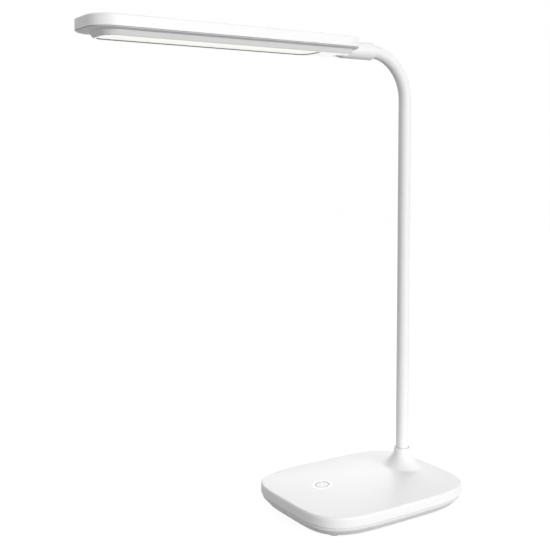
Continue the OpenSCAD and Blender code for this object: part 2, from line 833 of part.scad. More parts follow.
module neck_socket() {
    color("white")
    difference() {
        union() {
            // round part outside the head
            rod_x(socket_r, head_stem_x + 0.2, socket_mouth_x - mouth_chamfer);
            translate([socket_mouth_x - mouth_chamfer, 0, axis_z]) rotate([0, 90, 0])
                cylinder(r1 = socket_r, r2 = mouth_r, h = mouth_chamfer);
            // tongue inside the head, flat on top, tapered at its nose
            difference() {
                union() {
                    rod_x(socket_r, socket_end_x + nose_l, head_stem_x + 0.2);
                    translate([socket_end_x, 0, axis_z]) rotate([0, 90, 0])
                        cylinder(r1 = nose_r, r2 = socket_r, h = nose_l);
                }
                translate([socket_end_x - cut, -socket_d, tongue_top_z])
                    cube([head_stem_x + 0.2 - socket_end_x + cut, 2 * socket_d, socket_d]);
            }
            translate([ear_x - ear_l / 2, -ear_y, ear_top_z - ear_t]) cube([ear_l, 2 * ear_y, ear_t]);
        }
        rod_x(socket_bore_r, neck_flange_x - neck_flange_t, socket_mouth_x + cut);
        rod_x(ferrule_hole_r, neck_ferrule_end_x - fit, neck_flange_x);
        rod_x(core_bore / 2, socket_end_x - cut, neck_flange_x);
        translate([grub_x, 0, axis_z]) cylinder(r = grub_r + bore_fit, h = socket_d);
        for (sy = [-1, 1])
            translate([ear_x, sy * ear_hole_y, 0])
                rod(m2_r + 0.15, ear_top_z - ear_t - cut, ear_top_z + cut);
    }
}

module neck_ferrule() {
    color("silver")
    difference() {
        union() {
            rod_x(ferrule_r, neck_ferrule_end_x, neck_flange_x - 0.5);
            rod_x(ferrule_flange_r, neck_flange_x - neck_flange_t, neck_flange_x);
        }
        rod_x(core_bore / 2, neck_ferrule_end_x - cut, neck_flange_x + cut);
    }
}

module socket_grub_screw() {
    color("dimgray")
    translate([grub_x, 0, 0]) rod(grub_r, axis_z + ferrule_r + 0.05, tongue_top_z);
}

module socket_screws() {
    color("silver")
    for (sy = [-1, 1])
        translate([ear_x, sy * ear_hole_y, 0]) {
            rod(m2_head_r, ear_top_z - ear_t - m2_head_h, ear_top_z - ear_t);
            rod(m2_r, ear_top_z - ear_t, head_ceiling_z + ear_screw_bite);
        }
}

module head_top_shell() {
    edge_steps = [30, 60, 90];
    outer = concat(
        [head_ring(0, head_low_z), head_ring(0, head_top_z - head_edge_r)],
        [for (a = edge_steps)
            head_ring(head_edge_r * (1 - cos(a)), head_top_z - head_edge_r * (1 - sin(a)))]);
    inner = [head_ring(head_wall, head_low_z - cut), head_ring(head_wall, head_ceiling_z)];
    color("white")
    difference() {
        union() {
            difference() {
                loft(outer);
                loft(inner);
            }
            for (x = led_screw_xs)
                translate([x, 0, 0]) rod(led_post_r, led_board_top_z, head_ceiling_z + head_wall / 4);
            for (sy = [-1, 1])
                translate([ear_x, sy * ear_hole_y, 0]) rod(ear_post_r, ear_top_z, head_ceiling_z + head_wall / 4);
        }
        // way in for the neck socket's tongue
        difference() {
            rod_x(socket_r + 0.25, head_stem_x - head_wall - cut, head_stem_x + cut);
            translate([head_stem_x - head_wall - 2 * cut, -socket_d, tongue_top_z + fit / 2])
                cube([head_wall + 4 * cut, 2 * socket_d, socket_d]);
        }
        for (x = led_screw_xs)
            translate([x, 0, 0]) rod(m2_r + bore_fit, led_board_top_z - cut, head_ceiling_z + 1);
        for (sy = [-1, 1])
            translate([ear_x, sy * ear_hole_y, 0])
                rod(m2_r + bore_fit, ear_top_z - cut, head_ceiling_z + 1);
    }
}

module head_lower_tray() {
    outer = [
        tray_ring(tray_taper, tray_low_z),
        tray_ring(0, tray_top_z),
        head_ring(flange_in, ledge_z - 0.3),
        head_ring(flange_in, ledge_z),
        head_ring(tray_rim_in, ledge_z),
        head_ring(tray_rim_in, tray_rim_z)
    ];
    inner = [
        tray_ring(tray_taper + tray_wall, tray_floor_z),
        tray_ring(tray_wall + 0.6, flange_top_z),
        head_ring(tray_rim_in + tray_rim_t, flange_top_z),
        head_ring(tray_rim_in + tray_rim_t, tray_rim_z + cut)
    ];
    color("gainsboro")
    difference() {
        loft(outer);
        loft(inner);
        loft([light_ring(0, tray_low_z - cut), light_ring(0, tray_floor_z + cut)]);
        // room for the neck socket
        rod_x(socket_r + 0.25, socket_end_x + nose_l, head_stem_x + cut);
        translate([socket_end_x - 0.25, 0, axis_z]) rotate([0, 90, 0])
            cylinder(r1 = nose_r + 0.25, r2 = socket_r + 0.25, h = nose_l + 0.25);
    }
}

module diffuser() {
    color("ivory")
    union() {
        loft([light_ring(fit, diffuser_z), light_ring(fit, diffuser_flange_z + 0.1)]);
        loft([light_ring(-diffuser_lap, diffuser_flange_z), light_ring(-diffuser_lap, diffuser_top_z)]);
    }
}

// White frame that sends the light down from the strip to the diffuser
module reflector() {
    low_w = head_half - ledge_side - tray_taper - tray_wall - fit - reflector_in;
    free_x = head_free_x + ledge_free + tray_taper + tray_wall + reflector_in_free;
    color("whitesmoke")
    difference() {
        loft([
            round_outline(free_x, reflector_stem_x, low_w, 8, reflector_low_z),
            round_outline(free_x + reflector_slope, reflector_stem_x - reflector_slope,
                low_w - reflector_slope, 3, reflector_top_z)
        ]);
        loft([
            round_outline(free_x + reflector_t, reflector_stem_x - reflector_t,
                low_w - reflector_t, 8 - reflector_t, reflector_low_z - 0.01),
            round_outline(free_x + reflector_slope + reflector_t,
                reflector_stem_x - reflector_slope - reflector_t,
                low_w - reflector_slope - reflector_t, 3 - reflector_t, reflector_top_z + 0.01)
        ]);
    }
}

module led_board() {
    color("whitesmoke")
    difference() {
        translate([led_board_free_x, -led_board_w / 2, led_board_low_z])
            cube([led_board_stem_x - led_board_free_x, led_board_w, led_board_t]);
        for (x = led_screw_xs)
            translate([x, 0, 0]) rod(m2_r + 0.15, led_board_low_z - cut, led_board_top_z + cut);
    }
}

module led_chips() {
    pitch = (led_stem_x - led_free_x) / (leds_per_row - 1);
    color("lemonchiffon")
    for (i = [0 : leds_per_row - 1])
        for (sy = [-1, 1])
            translate([led_free_x + i * pitch - led_l / 2, sy * led_row_y - led_w / 2,
                led_board_low_z - led_t])
                cube([led_l, led_w, led_t]);
}

module led_board_screws() {
    color("silver")
    for (x = led_screw_xs)
        translate([x, 0, 0]) {
            rod(m2_head_r, led_board_low_z - m2_head_h, led_board_low_z);
            rod(m2_r, led_board_low_z, head_ceiling_z + led_screw_bite);
        }
}

module head_connector() {
    color("beige")
    translate([connector_x, -connector_w / 2, axis_z - lead_d / 2])
        cube([connector_l, connector_w, led_board_low_z - axis_z + lead_d / 2]);
}

base_top_shell();
base_lower_pan();
rubber_feet();
base_screws();
ballast_plate();
key_cap();
key_light_pipe();
tactile_switch();
switch_plunger();
control_board();
board_components();
board_screws();
power_inlet();
inlet_lead();
stem_ferrule();
stem_washer();
stem_nut();
stem_sleeve(1);  // stem_sleeve_1
stem_sleeve(2);  // stem_sleeve_2
stem_sleeve(3);  // stem_sleeve_3
stem_sleeve(4);  // stem_sleeve_4
stem_sleeve(5);  // stem_sleeve_5
stem_sleeve(6);  // stem_sleeve_6
stem_sleeve(7);  // stem_sleeve_7
stem_sleeve(8);  // stem_sleeve_8
stem_sleeve(9);  // stem_sleeve_9
stem_sleeve(10);  // stem_sleeve_10
stem_core(1);  // stem_core_1
stem_core(2);  // stem_core_2
stem_core(3);  // stem_core_3
stem_core(4);  // stem_core_4
stem_core(5);  // stem_core_5
stem_core(6);  // stem_core_6
stem_core(7);  // stem_core_7
stem_core(8);  // stem_core_8
stem_core(9);  // stem_core_9
stem_core(10);  // stem_core_10
stem_lead(1);  // stem_lead_1
stem_lead(2);  // stem_lead_2
stem_lead(3);  // stem_lead_3
stem_lead(4);  // stem_lead_4
stem_lead(5);  // stem_lead_5
stem_lead(6);  // stem_lead_6
stem_lead(7);  // stem_lead_7
stem_lead(8);  // stem_lead_8
stem_lead(9);  // stem_lead_9
stem_lead(10);  // stem_lead_10
neck_socket();
neck_ferrule();
socket_screws();
socket_grub_screw();
head_top_shell();
head_lower_tray();
diffuser();
reflector();
led_board();
led_chips();
led_board_screws();
head_connector();
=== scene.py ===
"""Looks of a folding desk lamp with a light-strip head: shells, sleeve and key in full
detail, a finish for every piece, a pale floor, soft lamps and the camera.

Shapes are worked in millimetres and finished in metres, in the part's own frame.
"""

import math

import bmesh
import bpy
from mathutils import Matrix, Vector


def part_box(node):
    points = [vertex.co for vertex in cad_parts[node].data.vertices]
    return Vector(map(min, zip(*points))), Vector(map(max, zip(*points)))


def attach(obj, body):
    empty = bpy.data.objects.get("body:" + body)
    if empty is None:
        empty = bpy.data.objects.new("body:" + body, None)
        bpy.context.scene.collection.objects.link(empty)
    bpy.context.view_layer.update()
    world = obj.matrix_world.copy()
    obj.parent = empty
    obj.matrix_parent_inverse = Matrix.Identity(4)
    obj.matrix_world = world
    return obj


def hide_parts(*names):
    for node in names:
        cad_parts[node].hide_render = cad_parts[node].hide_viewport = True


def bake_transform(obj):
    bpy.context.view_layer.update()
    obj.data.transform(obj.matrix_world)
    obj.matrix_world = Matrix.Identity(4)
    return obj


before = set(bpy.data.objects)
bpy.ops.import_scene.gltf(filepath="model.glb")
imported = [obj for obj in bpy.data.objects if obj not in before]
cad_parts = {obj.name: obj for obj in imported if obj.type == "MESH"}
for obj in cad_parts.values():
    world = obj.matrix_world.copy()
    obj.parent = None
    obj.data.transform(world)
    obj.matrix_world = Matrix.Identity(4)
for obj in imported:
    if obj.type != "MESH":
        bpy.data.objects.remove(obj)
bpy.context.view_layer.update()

MM = 0.001
TURN = 2 * math.pi

# Base, as in the part's source, a hair smaller so that it stays in the solids' box
HAIR = 0.0001
HALF_L = 80.5 - HAIR
HALF_W = 62.0 - HAIR
POWER = 4.2
SHELL_LOW = 9.8
BAND_TOP = 16.2
RIM_R = 1.9
RIM_Z = BAND_TOP + RIM_R
CROWN_H = 7.3
CROWN_L = HALF_L - RIM_R
CROWN_W = HALF_W - RIM_R
SHELL_WALL = 2.0

# Stem boss
STEM_X = 46.5
FLARE_R = 21.5
FLARE_POWER = 1.35
BOSS_R = 7.3
BOSS_Z = 39.7
RING_LOW = 36.2
NECK_STEP = 0.2
FOOT_BLEND = 4.5
BOSS_BORE = 5.9
BOSS_FLOOR = 27.0
BOSS_WEB = 19.49
FERRULE_HOLE = 4.0
BOSS_LIP = 0.55
NUT_ROOM = 9.0
INLET_AT = (14.0, 12.9)
INLET_R = 2.1

# Key
KEY_X = -42.0
KEY_R = 5.65
KEY_HOLE = 5.95
DISH_R = 8.9
DISH_DEPTH = 0.6
KEY_SLOPE = 2 * CROWN_H * -KEY_X / CROWN_L**2
DISH_Z = RIM_Z + CROWN_H * (1 - (KEY_X / CROWN_L) ** 2)
KEY_TOP = DISH_Z - DISH_DEPTH * 0.6
KEY_PAD = DISH_Z - DISH_DEPTH - 1.6
KEY_FLANGE_Z = KEY_PAD - 1.1
WINDOW_R = 0.85
KEY_WELL = 7.15
KEY_WELL_OUT = 8.35
KEY_FLANGE_R = 6.85
KEY_POST_R = 2.0
KEY_EDGE = 0.28

# Pan and feet
PAN_LOW = 1.5
PAN_FLOOR = 3.5
PAN_LIP = 7.7
PAN_BAND = 9.5
PAN_RIM = 12.5
FOOT_AT = [(60.0, 41.0), (-60.0, 41.0), (-60.0, -41.0), (60.0, -41.0)]
FOOT_R = 5.5
FOOT_TOP = 2.3
SCREW_SEAT = 4.4
PAN_POST_Z = 6.6
FOOT_ROOM = FOOT_R + 0.15
SCREW_HEAD_R = 3.1
SCREW_HOLE_R = 1.7
PAN_POST_R = 5.2
STAKE_AT = [(44.0, 30.0), (-44.0, 30.0), (-44.0, -30.0), (44.0, -30.0)]
STAKE_R = 1.8
STAKE_HEAD_R = 3.2
STAKE_TOP = 9.5
INLET_ROOM = ((72.5, 10.5, 10.2), (80.5, 17.5, 13.5))
BALLAST_TOP = 8.5

# Stem path
SEAT_Z = 29.9
BEND_Z = 349.4
BEND_R = 40.0
BEND_X = STEM_X - BEND_R
AXIS_Z = BEND_Z + BEND_R
SLEEVE_R = 5.5
SLEEVE_BORE = 4.0
RISE = BEND_Z - SEAT_Z

# Head and socket
HEAD_FREE = -250.7
HEAD_STEM = -16.7
HEAD_HALF = 25.8
HEAD_CORNER = 17.0
HEAD_LOW = AXIS_Z - 0.8
HEAD_TOP = HEAD_LOW + 8.4
HEAD_EDGE = 1.1
HEAD_WALL = 2.0
CEILING = HEAD_TOP - HEAD_WALL
LEDGE_SIDE = 6.8
LEDGE_FREE = 9.0
LEDGE_STEM = 2.2
LEDGE_Z = HEAD_LOW - 0.3
TRAY_TOP = LEDGE_Z - 1.0
TRAY_LOW = HEAD_LOW - 5.1
TRAY_FLOOR = TRAY_LOW + 2.0
TRAY_TAPER = 2.9
TRAY_CORNER = 13.4
TRAY_RIM = 2.3
TRAY_BLANK = 33.1
DIFFUSER_Z = TRAY_LOW + 0.8
LIGHT_FREE = HEAD_FREE + LEDGE_FREE + TRAY_TAPER + TRAY_RIM
LIGHT_STEM = HEAD_STEM - LEDGE_STEM - TRAY_BLANK
LIGHT_HALF = HEAD_HALF - LEDGE_SIDE - TRAY_TAPER - TRAY_RIM
SOCKET_R = 7.5
SOCKET_MOUTH = BEND_X + 1.5
SOCKET_END = SOCKET_MOUTH - 38.0
NOSE_R = 6.1
NOSE_L = 6.0
MOUTH_R = 6.2
MOUTH_L = 1.2
TONGUE_TOP = CEILING - 0.3
TONGUE_ROOM = 0.25
SOCKET_BORE = 5.9
SOCKET_SEAT = 4.2
SOCKET_WEB = -22.3
WIRE_HOLE = 1.8
EAR_X = -25.0
EAR_Y = 10.8
EAR_HOLE = 1.15
EARS = ((-29.0, -14.0, 391.5), (-21.0, 14.0, 393.2))
EAR_POST_R = 2.6
EAR_POST_H = 1.8
LED_POST_R = 2.4
LED_POST_H = 2.8
PILOT_R = 1.05
GRUB_X = -20.2
GRUB_HOLE = 1.25
TRAY_LIP_TOP = LEDGE_Z + 2.3
TRAY_LIP_FOOT = LEDGE_Z + 1.3


# ---------- Finishes ----------


class Tone:
    """A socket's value in a finish. Sums written on it become maths nodes."""

    def __init__(self, tree, socket=None):
        self.tree = tree
        self.socket = socket

    def make(self, kind, settings=None, sockets=None, out=0):
        """Any node of the tree: its type, its settings, then its sockets' values or links."""
        node = self.tree.nodes.new(kind)
        for name, value in (settings or {}).items():
            if name == "stops":
                stops = node.color_ramp.elements
                while len(stops) < len(value):
                    stops.new(0.5)
                for stop, (place, shade) in zip(stops, value):
                    stop.position = place
                    stop.color = shade
            else:
                setattr(node, name, value)
        for name, value in (sockets or {}).items():
            if isinstance(value, Tone):
                self.tree.links.new(value.socket, node.inputs[name])
            else:
                node.inputs[name].default_value = value
        return Tone(self.tree, node.outputs[out] if len(node.outputs) else None)

    def sum(self, operation, a, b):
        return self.make("ShaderNodeMath", {"operation": operation}, {0: a, 1: b})

    def __add__(self, other):
        return self.sum("ADD", self, other)

    def __radd__(self, other):
        return self.sum("ADD", other, self)

    def __sub__(self, other):
        return self.sum("SUBTRACT", self, other)

    def __rsub__(self, other):
        return self.sum("SUBTRACT", other, self)

    def __mul__(self, other):
        return self.sum("MULTIPLY", self, other)

    def __rmul__(self, other):
        return self.sum("MULTIPLY", other, self)

    def __pow__(self, other):
        return self.sum("POWER", self, other)


def grey(share):
    return (share, share, share, 1)


def start_finish(name):
    """A new finish with nothing in it, and its object coordinates."""
    made = bpy.data.materials.new(name)
    made.use_nodes = True
    made.node_tree.nodes.clear()
    tree = Tone(made.node_tree)
    return made, tree, tree.make("ShaderNodeTexCoord", out="Object")


def end_finish(made, tree, shader):
    tree.make("ShaderNodeOutputMaterial", None, {"Surface": shader})
    made.diffuse_color = (0.8, 0.8, 0.8, 1)
    return made


def noise(tree, place, size, detail=2.0, rough=0.5):
    """Noise with features about size metres across."""
    return tree.make(
        "ShaderNodeTexNoise",
        {"noise_dimensions": "3D"},
        {"Vector": place, "Scale": 1 / size, "Detail": detail, "Roughness": rough},
    )


def blend_shades(tree, dark, light, share):
    return tree.make(
        "ShaderNodeMix",
        {"data_type": "RGBA"},
        {"Factor": share, 6: (*dark, 1), 7: (*light, 1)},
        out=2,
    )


def bump(tree, height, depth, strength=1.0):
    return tree.make(
        "ShaderNodeBump", None, {"Height": height, "Distance": depth, "Strength": strength}
    )


def moulded(name, dark, light, gloss, grain, depth, grain_size=0.00045, extra=None):
    """Moulded plastic or rubber: a fine spark-eroded grain over slow changes of tone."""
    made, tree, place = start_finish(name)
    slow = noise(tree, place, 0.035, 1.0)
    fine = noise(tree, place, grain_size, 3.0, 0.6)
    sockets = {
        "Base Color": blend_shades(tree, dark, light, slow * 0.7 + fine * 0.3),
        "Roughness": fine * grain + (gloss - grain / 2),
        "Normal": bump(tree, fine, depth),
        "IOR": 1.47,
    }
    sockets.update(extra or {})
    return end_finish(made, tree, tree.make("ShaderNodeBsdfPrincipled", None, sockets))


def metal(name, dark, light, gloss, stretch, size=0.0004, depth=0.000004):
    """Metal with marks drawn out along one way by stretch."""
    made, tree, place = start_finish(name)
    drawn = tree.make(
        "ShaderNodeMapping", {"vector_type": "POINT"}, {"Vector": place, "Scale": stretch}
    )
    marks = noise(tree, drawn, size, 3.0, 0.65)
    cloud = noise(tree, place, 0.006, 2.0)
    sockets = {
        "Base Color": blend_shades(tree, dark, light, marks * 0.5 + cloud * 0.5),
        "Metallic": 1.0,
        "Roughness": marks * 0.18 + (gloss - 0.09),
        "Normal": bump(tree, marks, depth),
    }
    return end_finish(made, tree, tree.make("ShaderNodeBsdfPrincipled", None, sockets))


def wound_steel(name):
    """Gooseneck core: two wires wound side by side, seen as fine turns along the stem."""
    made, tree, place = start_finish(name)
    turns = tree.make(
        "ShaderNodeTexWave",
        {"wave_type": "BANDS", "bands_direction": "Z", "wave_profile": "SIN"},
        {"Vector": place, "Scale": 95.0, "Distortion": 0.0, "Detail": 0.0},
        out=1,
    )
    marks = noise(tree, place, 0.0008, 3.0)
    share = turns * 0.7 + marks * 0.3
    sockets = {
        "Base Color": blend_shades(tree, (0.2, 0.2, 0.21), (0.6, 0.6, 0.61), share),
        "Metallic": 1.0,
        "Roughness": marks * 0.2 + 0.25,
        "Normal": bump(tree, turns, 0.0003),
    }
    return end_finish(made, tree, tree.make("ShaderNodeBsdfPrincipled", None, sockets))


def opal(name):
    """Opal diffuser sheet: slightly warm, with a soft cloud inside the plastic, and a faint painted
    glow that lifts its underside to white.
    """
    made, tree, place = start_finish(name)
    cloud = noise(tree, place, 0.012, 2.0)
    frost = noise(tree, place, 0.0003, 2.0)
    sockets = {
        "Base Color": blend_shades(tree, (0.93, 0.925, 0.905), (0.95, 0.945, 0.93), cloud),
        "Roughness": frost * 0.1 + 0.4,
        "Normal": bump(tree, frost, 0.000006),
        "IOR": 1.49,
        # Painted light: a faint glow that lifts the sheet's downward-facing face to white.
        "Emission Color": blend_shades(tree, (0.99, 0.98, 0.92), (0.99, 1.0, 0.955), cloud),
        "Emission Strength": 0.57,
    }
    return end_finish(made, tree, tree.make("ShaderNodeBsdfPrincipled", None, sockets))


def clear(name):
    """Clear window of the key, milky in its depth."""
    made, tree, place = start_finish(name)
    cloud = noise(tree, place, 0.0005, 2.0)
    sockets = {
        "Base Color": blend_shades(tree, (0.68, 0.69, 0.70), (0.8, 0.81, 0.82), cloud),
        "Roughness": cloud * 0.06 + 0.08,
        "Normal": bump(tree, cloud, 0.000004),
        "IOR": 1.58,
    }
    return end_finish(made, tree, tree.make("ShaderNodeBsdfPrincipled", None, sockets))


def circuit(name, board, track, size):
    """Circuit board: lacquer over straight tracks that turn in squares."""
    made, tree, place = start_finish(name)
    tracks = tree.make(
        "ShaderNodeTexVoronoi",
        {"distance": "CHEBYCHEV", "feature": "F1"},
        {"Vector": place, "Scale": 1 / size, "Randomness": 0.6},
    )
    edge = tree.make(
        "ShaderNodeValToRGB",
        {"stops": [(0.30, grey(0)), (0.34, grey(1)), (0.40, grey(1)), (0.44, grey(0))]},
        {"Fac": tracks},
    )
    fleck = noise(tree, place, 0.0006, 2.0)
    sockets = {
        "Base Color": blend_shades(tree, board, track, edge),
        "Roughness": fleck * 0.15 + 0.28,
        "Normal": bump(tree, edge, 0.00004),
    }
    return end_finish(made, tree, tree.make("ShaderNodeBsdfPrincipled", None, sockets))


def light_chip(name):
    """Yellow phosphor of a light, flecked in two shades."""
    made, tree, place = start_finish(name)
    fleck = noise(tree, place, 0.0003, 2.0)
    sockets = {
        "Base Color": blend_shades(tree, (0.86, 0.66, 0.16), (0.95, 0.82, 0.35), fleck),
        "Roughness": fleck * 0.2 + 0.35,
        "Normal": bump(tree, fleck, 0.00001),
    }
    return end_finish(made, tree, tree.make("ShaderNodeBsdfPrincipled", None, sockets))


FINISHES = {
    "white_satin_plastic": moulded(
        "white_satin_plastic", (0.895, 0.897, 0.897), (0.915, 0.917, 0.915), 0.46, 0.10, 0.000006
    ),
    # The dish round the key: polished, with lower roughness, and a lighter colour that is a painted
    # highlight.
    "polished_dish_painted_highlight": moulded(
        "polished_dish_painted_highlight", (0.945, 0.947, 0.947), (0.96, 0.962, 0.96), 0.2, 0.06, 0.000003
    ),
    # Painted shade: dark grey laid on the walls of gaps and recesses where shade falls.
    "painted_gap_shade": moulded("painted_gap_shade", (0.26, 0.26, 0.26), (0.34, 0.34, 0.34), 0.5, 0.1, 0.000008),
    # Painted light: a faint glow that lifts the tray's downward-facing rim round the diffuser,
    # though it is no lamp.
    "painted_glow_rim": moulded(
        "painted_glow_rim",
        (0.88, 0.88, 0.875),
        (0.90, 0.90, 0.895),
        0.45,
        0.1,
        0.000006,
        extra={"Emission Color": (1.0, 0.99, 0.97, 1), "Emission Strength": 0.55},
    ),
    "pale_grey_plastic": moulded(
        "pale_grey_plastic", (0.865, 0.867, 0.868), (0.885, 0.887, 0.887), 0.48, 0.12, 0.000008
    ),
    # Painted shade: a darker copy of pale_grey_plastic for the pan's lower, downward-facing faces.
    "pan_painted_shade": moulded(
        "pan_painted_shade", (0.765, 0.767, 0.768), (0.785, 0.787, 0.787), 0.48, 0.12, 0.000008
    ),
    "white_soft_sleeve": moulded(
        "white_soft_sleeve", (0.875, 0.877, 0.878), (0.90, 0.90, 0.90), 0.58, 0.10, 0.000009, 0.0006
    ),
    "white_reflector": moulded(
        "white_reflector", (0.90, 0.90, 0.89), (0.94, 0.94, 0.93), 0.3, 0.08, 0.000003
    ),
    "foot_rubber": moulded(
        "foot_rubber", (0.32, 0.325, 0.33), (0.42, 0.425, 0.43), 0.72, 0.15, 0.00003, 0.0007
    ),
    "black_plastic": moulded(
        "black_plastic", (0.018, 0.018, 0.019), (0.035, 0.035, 0.036), 0.4, 0.12, 0.000012
    ),
    "wire_jacket": moulded(
        "wire_jacket", (0.025, 0.025, 0.027), (0.05, 0.05, 0.052), 0.5, 0.1, 0.000015
    ),
    "natural_nylon": moulded(
        "natural_nylon", (0.68, 0.64, 0.53), (0.78, 0.75, 0.65), 0.45, 0.1, 0.00001
    ),
    "steel_plate": metal(
        "steel_plate", (0.30, 0.30, 0.31), (0.52, 0.52, 0.53), 0.42, (1.0, 0.06, 1.0)
    ),
    "zinc_steel": metal(
        "zinc_steel", (0.58, 0.59, 0.60), (0.78, 0.79, 0.80), 0.3, (1.0, 1.0, 0.15)
    ),
    "gooseneck_steel": wound_steel("gooseneck_steel"),
    "milky_diffuser": opal("milky_diffuser"),
    "clear_window": clear("clear_window"),
    "circuit_board": circuit("circuit_board", (0.02, 0.12, 0.055), (0.05, 0.26, 0.12), 0.005),
    "white_board": circuit("white_board", (0.80, 0.80, 0.78), (0.62, 0.62, 0.60), 0.008),
    "led_phosphor": light_chip("led_phosphor"),
}


# ---------- Making shapes ----------


def ring(bm, count, place):
    """A closed ring of edges. place(step) gives the spot of each of its corners."""
    made = bmesh.ops.create_circle(bm, segments=count, radius=1.0)["verts"]
    for corner in made:
        turn = math.atan2(corner.co.y, corner.co.x) / TURN
        corner.co = place(round(turn * count) % count)
    return list(dict.fromkeys(e for v in made for e in v.link_edges))


def skin(bm, rings):
    """Bands of faces from each ring to the next."""
    for low, high in zip(rings, rings[1:]):
        bmesh.ops.bridge_loops(bm, edges=low + high)


def lid(bm, edges):
    bmesh.ops.edgeloop_fill(bm, edges=edges)


def fill_between(bm, loops):
    """Flat or gently curved sheet between an outer loop and the loops inside it."""
    edges = [e for loop in loops for e in loop]
    bmesh.ops.triangle_fill(bm, use_beauty=True, use_dissolve=False, edges=edges)


def round_ring(bm, centre, radius, height, count=64):
    """Level ring round a point, or one whose height follows height(x, y)."""

    def place(step):
        angle = TURN * step / count
        x = centre[0] + radius * math.cos(angle)
        y = centre[1] + radius * math.sin(angle)
        return Vector((x, y, height(x, y) if callable(height) else height))

    return ring(bm, count, place)


def mesh_object(name, bm):
    """Turns a shape in millimetres into an object in metres, with faces outwards."""
    bmesh.ops.remove_doubles(bm, verts=bm.verts, dist=1e-4)
    bmesh.ops.recalc_face_normals(bm, faces=bm.faces)
    bmesh.ops.transform(bm, matrix=Matrix.Scale(MM, 4), verts=bm.verts)
    mesh = bpy.data.meshes.new(name)
    bm.to_mesh(mesh)
    bm.free()
    made = bpy.data.objects.new(name, mesh)
    bpy.context.scene.collection.objects.link(made)
    return made


def carve(made, operation, bm):
    """Cuts a shape out of a piece, or joins it on, and keeps the result as the piece's mesh."""
    tool = mesh_object("carving_tool", bm)
    step = made.modifiers.new("carve", "BOOLEAN")
    step.operation = operation
    step.solver = "EXACT"
    step.object = tool
    bpy.context.view_layer.update()
    shaped = bpy.data.meshes.new_from_object(
        made.evaluated_get(bpy.context.evaluated_depsgraph_get())
    )
    made.modifiers.clear()
    made.data = shaped
    bpy.data.objects.remove(tool)
    return made


def touch_up(made, finish, chosen):
    """Gives the faces whose middle passes chosen(x, y, z), in millimetres, a second finish."""
    made.data.materials.append(FINISHES[finish])
    last = len(made.data.materials) - 1
    for face in made.data.polygons:
        if chosen(*(face.center / MM)):
            face.material_index = last


def dress(made, finish, body=None, stands_for=(), sharp=32.0, flat_faces=True):
    """Smooth shading with sharp corners, a finish, and the body that the piece rides on."""
    made.data.shade_smooth()
    made.data.set_sharp_from_angle(angle=math.radians(sharp))
    made.data.materials.clear()
    made.data.materials.append(FINISHES[finish])
    if flat_faces:
        weighted = made.modifiers.new("even_shading", "WEIGHTED_NORMAL")
        weighted.keep_sharp = True
    if body:
        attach(made, body)
    if stands_for:
        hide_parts(*stands_for)
    return made


def rod(bm, centre, radius, low, high, count=64, axis="Z"):
    """A plain round tool. Along X, centre is (y, z)."""
    made = bmesh.ops.create_cone(
        bm, cap_ends=True, segments=count, radius1=radius, radius2=radius, depth=high - low
    )["verts"]
    middle = (low + high) / 2
    if axis == "X":
        bmesh.ops.rotate(bm, verts=made, matrix=Matrix.Rotation(math.pi / 2, 3, "Y"))
        bmesh.ops.translate(bm, verts=made, vec=(middle, *centre))
    else:
        bmesh.ops.translate(bm, verts=made, vec=(*centre, middle))


def block(bm, low, high):
    made = bmesh.ops.create_cube(bm, size=1.0)["verts"]
    low, high = Vector(low), Vector(high)
    bmesh.ops.scale(bm, verts=made, vec=high - low)
    bmesh.ops.translate(bm, verts=made, vec=(low + high) / 2)


# ---------- Base ----------

BASE_COUNT = 160
CROWN_SHARES = [1 - (k / 27) ** 1.35 for k in range(27)]
INNER_SHARES = [1.0, 0.93, 0.84, 0.73, 0.6, 0.46, 0.3, 0.14, 0.05]


def pillow(step, half_l, half_w, power):
    """Point of a rounded-square outline, the steps spread evenly round it."""
    angle = TURN * step / BASE_COUNT
    c, s = math.cos(angle), math.sin(angle)
    reach = (abs(c) ** power + abs(s) ** power) ** (-1 / power)
    return half_l * reach * c, half_w * reach * s


def side_ring(bm, inset, z):
    return ring(
        bm,
        BASE_COUNT,
        lambda step: Vector((*pillow(step, HALF_L - inset, HALF_W - inset, POWER), z)),
    )


def crown_ring(bm, share, drop):
    half_l, half_w = (CROWN_L - drop) * share, (CROWN_W - drop) * share
    power = 2 + (POWER - 2) * share
    z = RIM_Z - drop + CROWN_H * (1 - share**2)
    return ring(bm, BASE_COUNT, lambda step: Vector((*pillow(step, half_l, half_w, power), z)))


def crown_height(x, y, drop=0.0):
    """Height of the base's top at a point, drop below the outside."""
    low, high = 1e-4, 1.0
    for _ in range(40):
        share = (low + high) / 2
        power = 2 + (POWER - 2) * share
        reach = (abs(x) / ((CROWN_L - drop) * share)) ** power
        reach += (abs(y) / ((CROWN_W - drop) * share)) ** power
        low, high = (share, high) if reach > 1 else (low, share)
    return RIM_Z - drop + CROWN_H * (1 - share**2)


def inner_height(x, y):
    return crown_height(x, y, SHELL_WALL)


def open_disc(bm, faces, centre, radius):
    """Takes out the faces of a skin round a point and gives the edges of the opening."""
    middle = Vector(centre)
    near = [f for f in faces if min((v.co.xy - middle).length for v in f.verts) < radius]
    others = set(faces) - set(near)
    rim = list(
        dict.fromkeys(e for f in near for e in f.edges if any(g in others for g in e.link_faces))
    )
    bmesh.ops.delete(bm, geom=near, context="FACES")
    return rim, [f for f in faces if f in others]


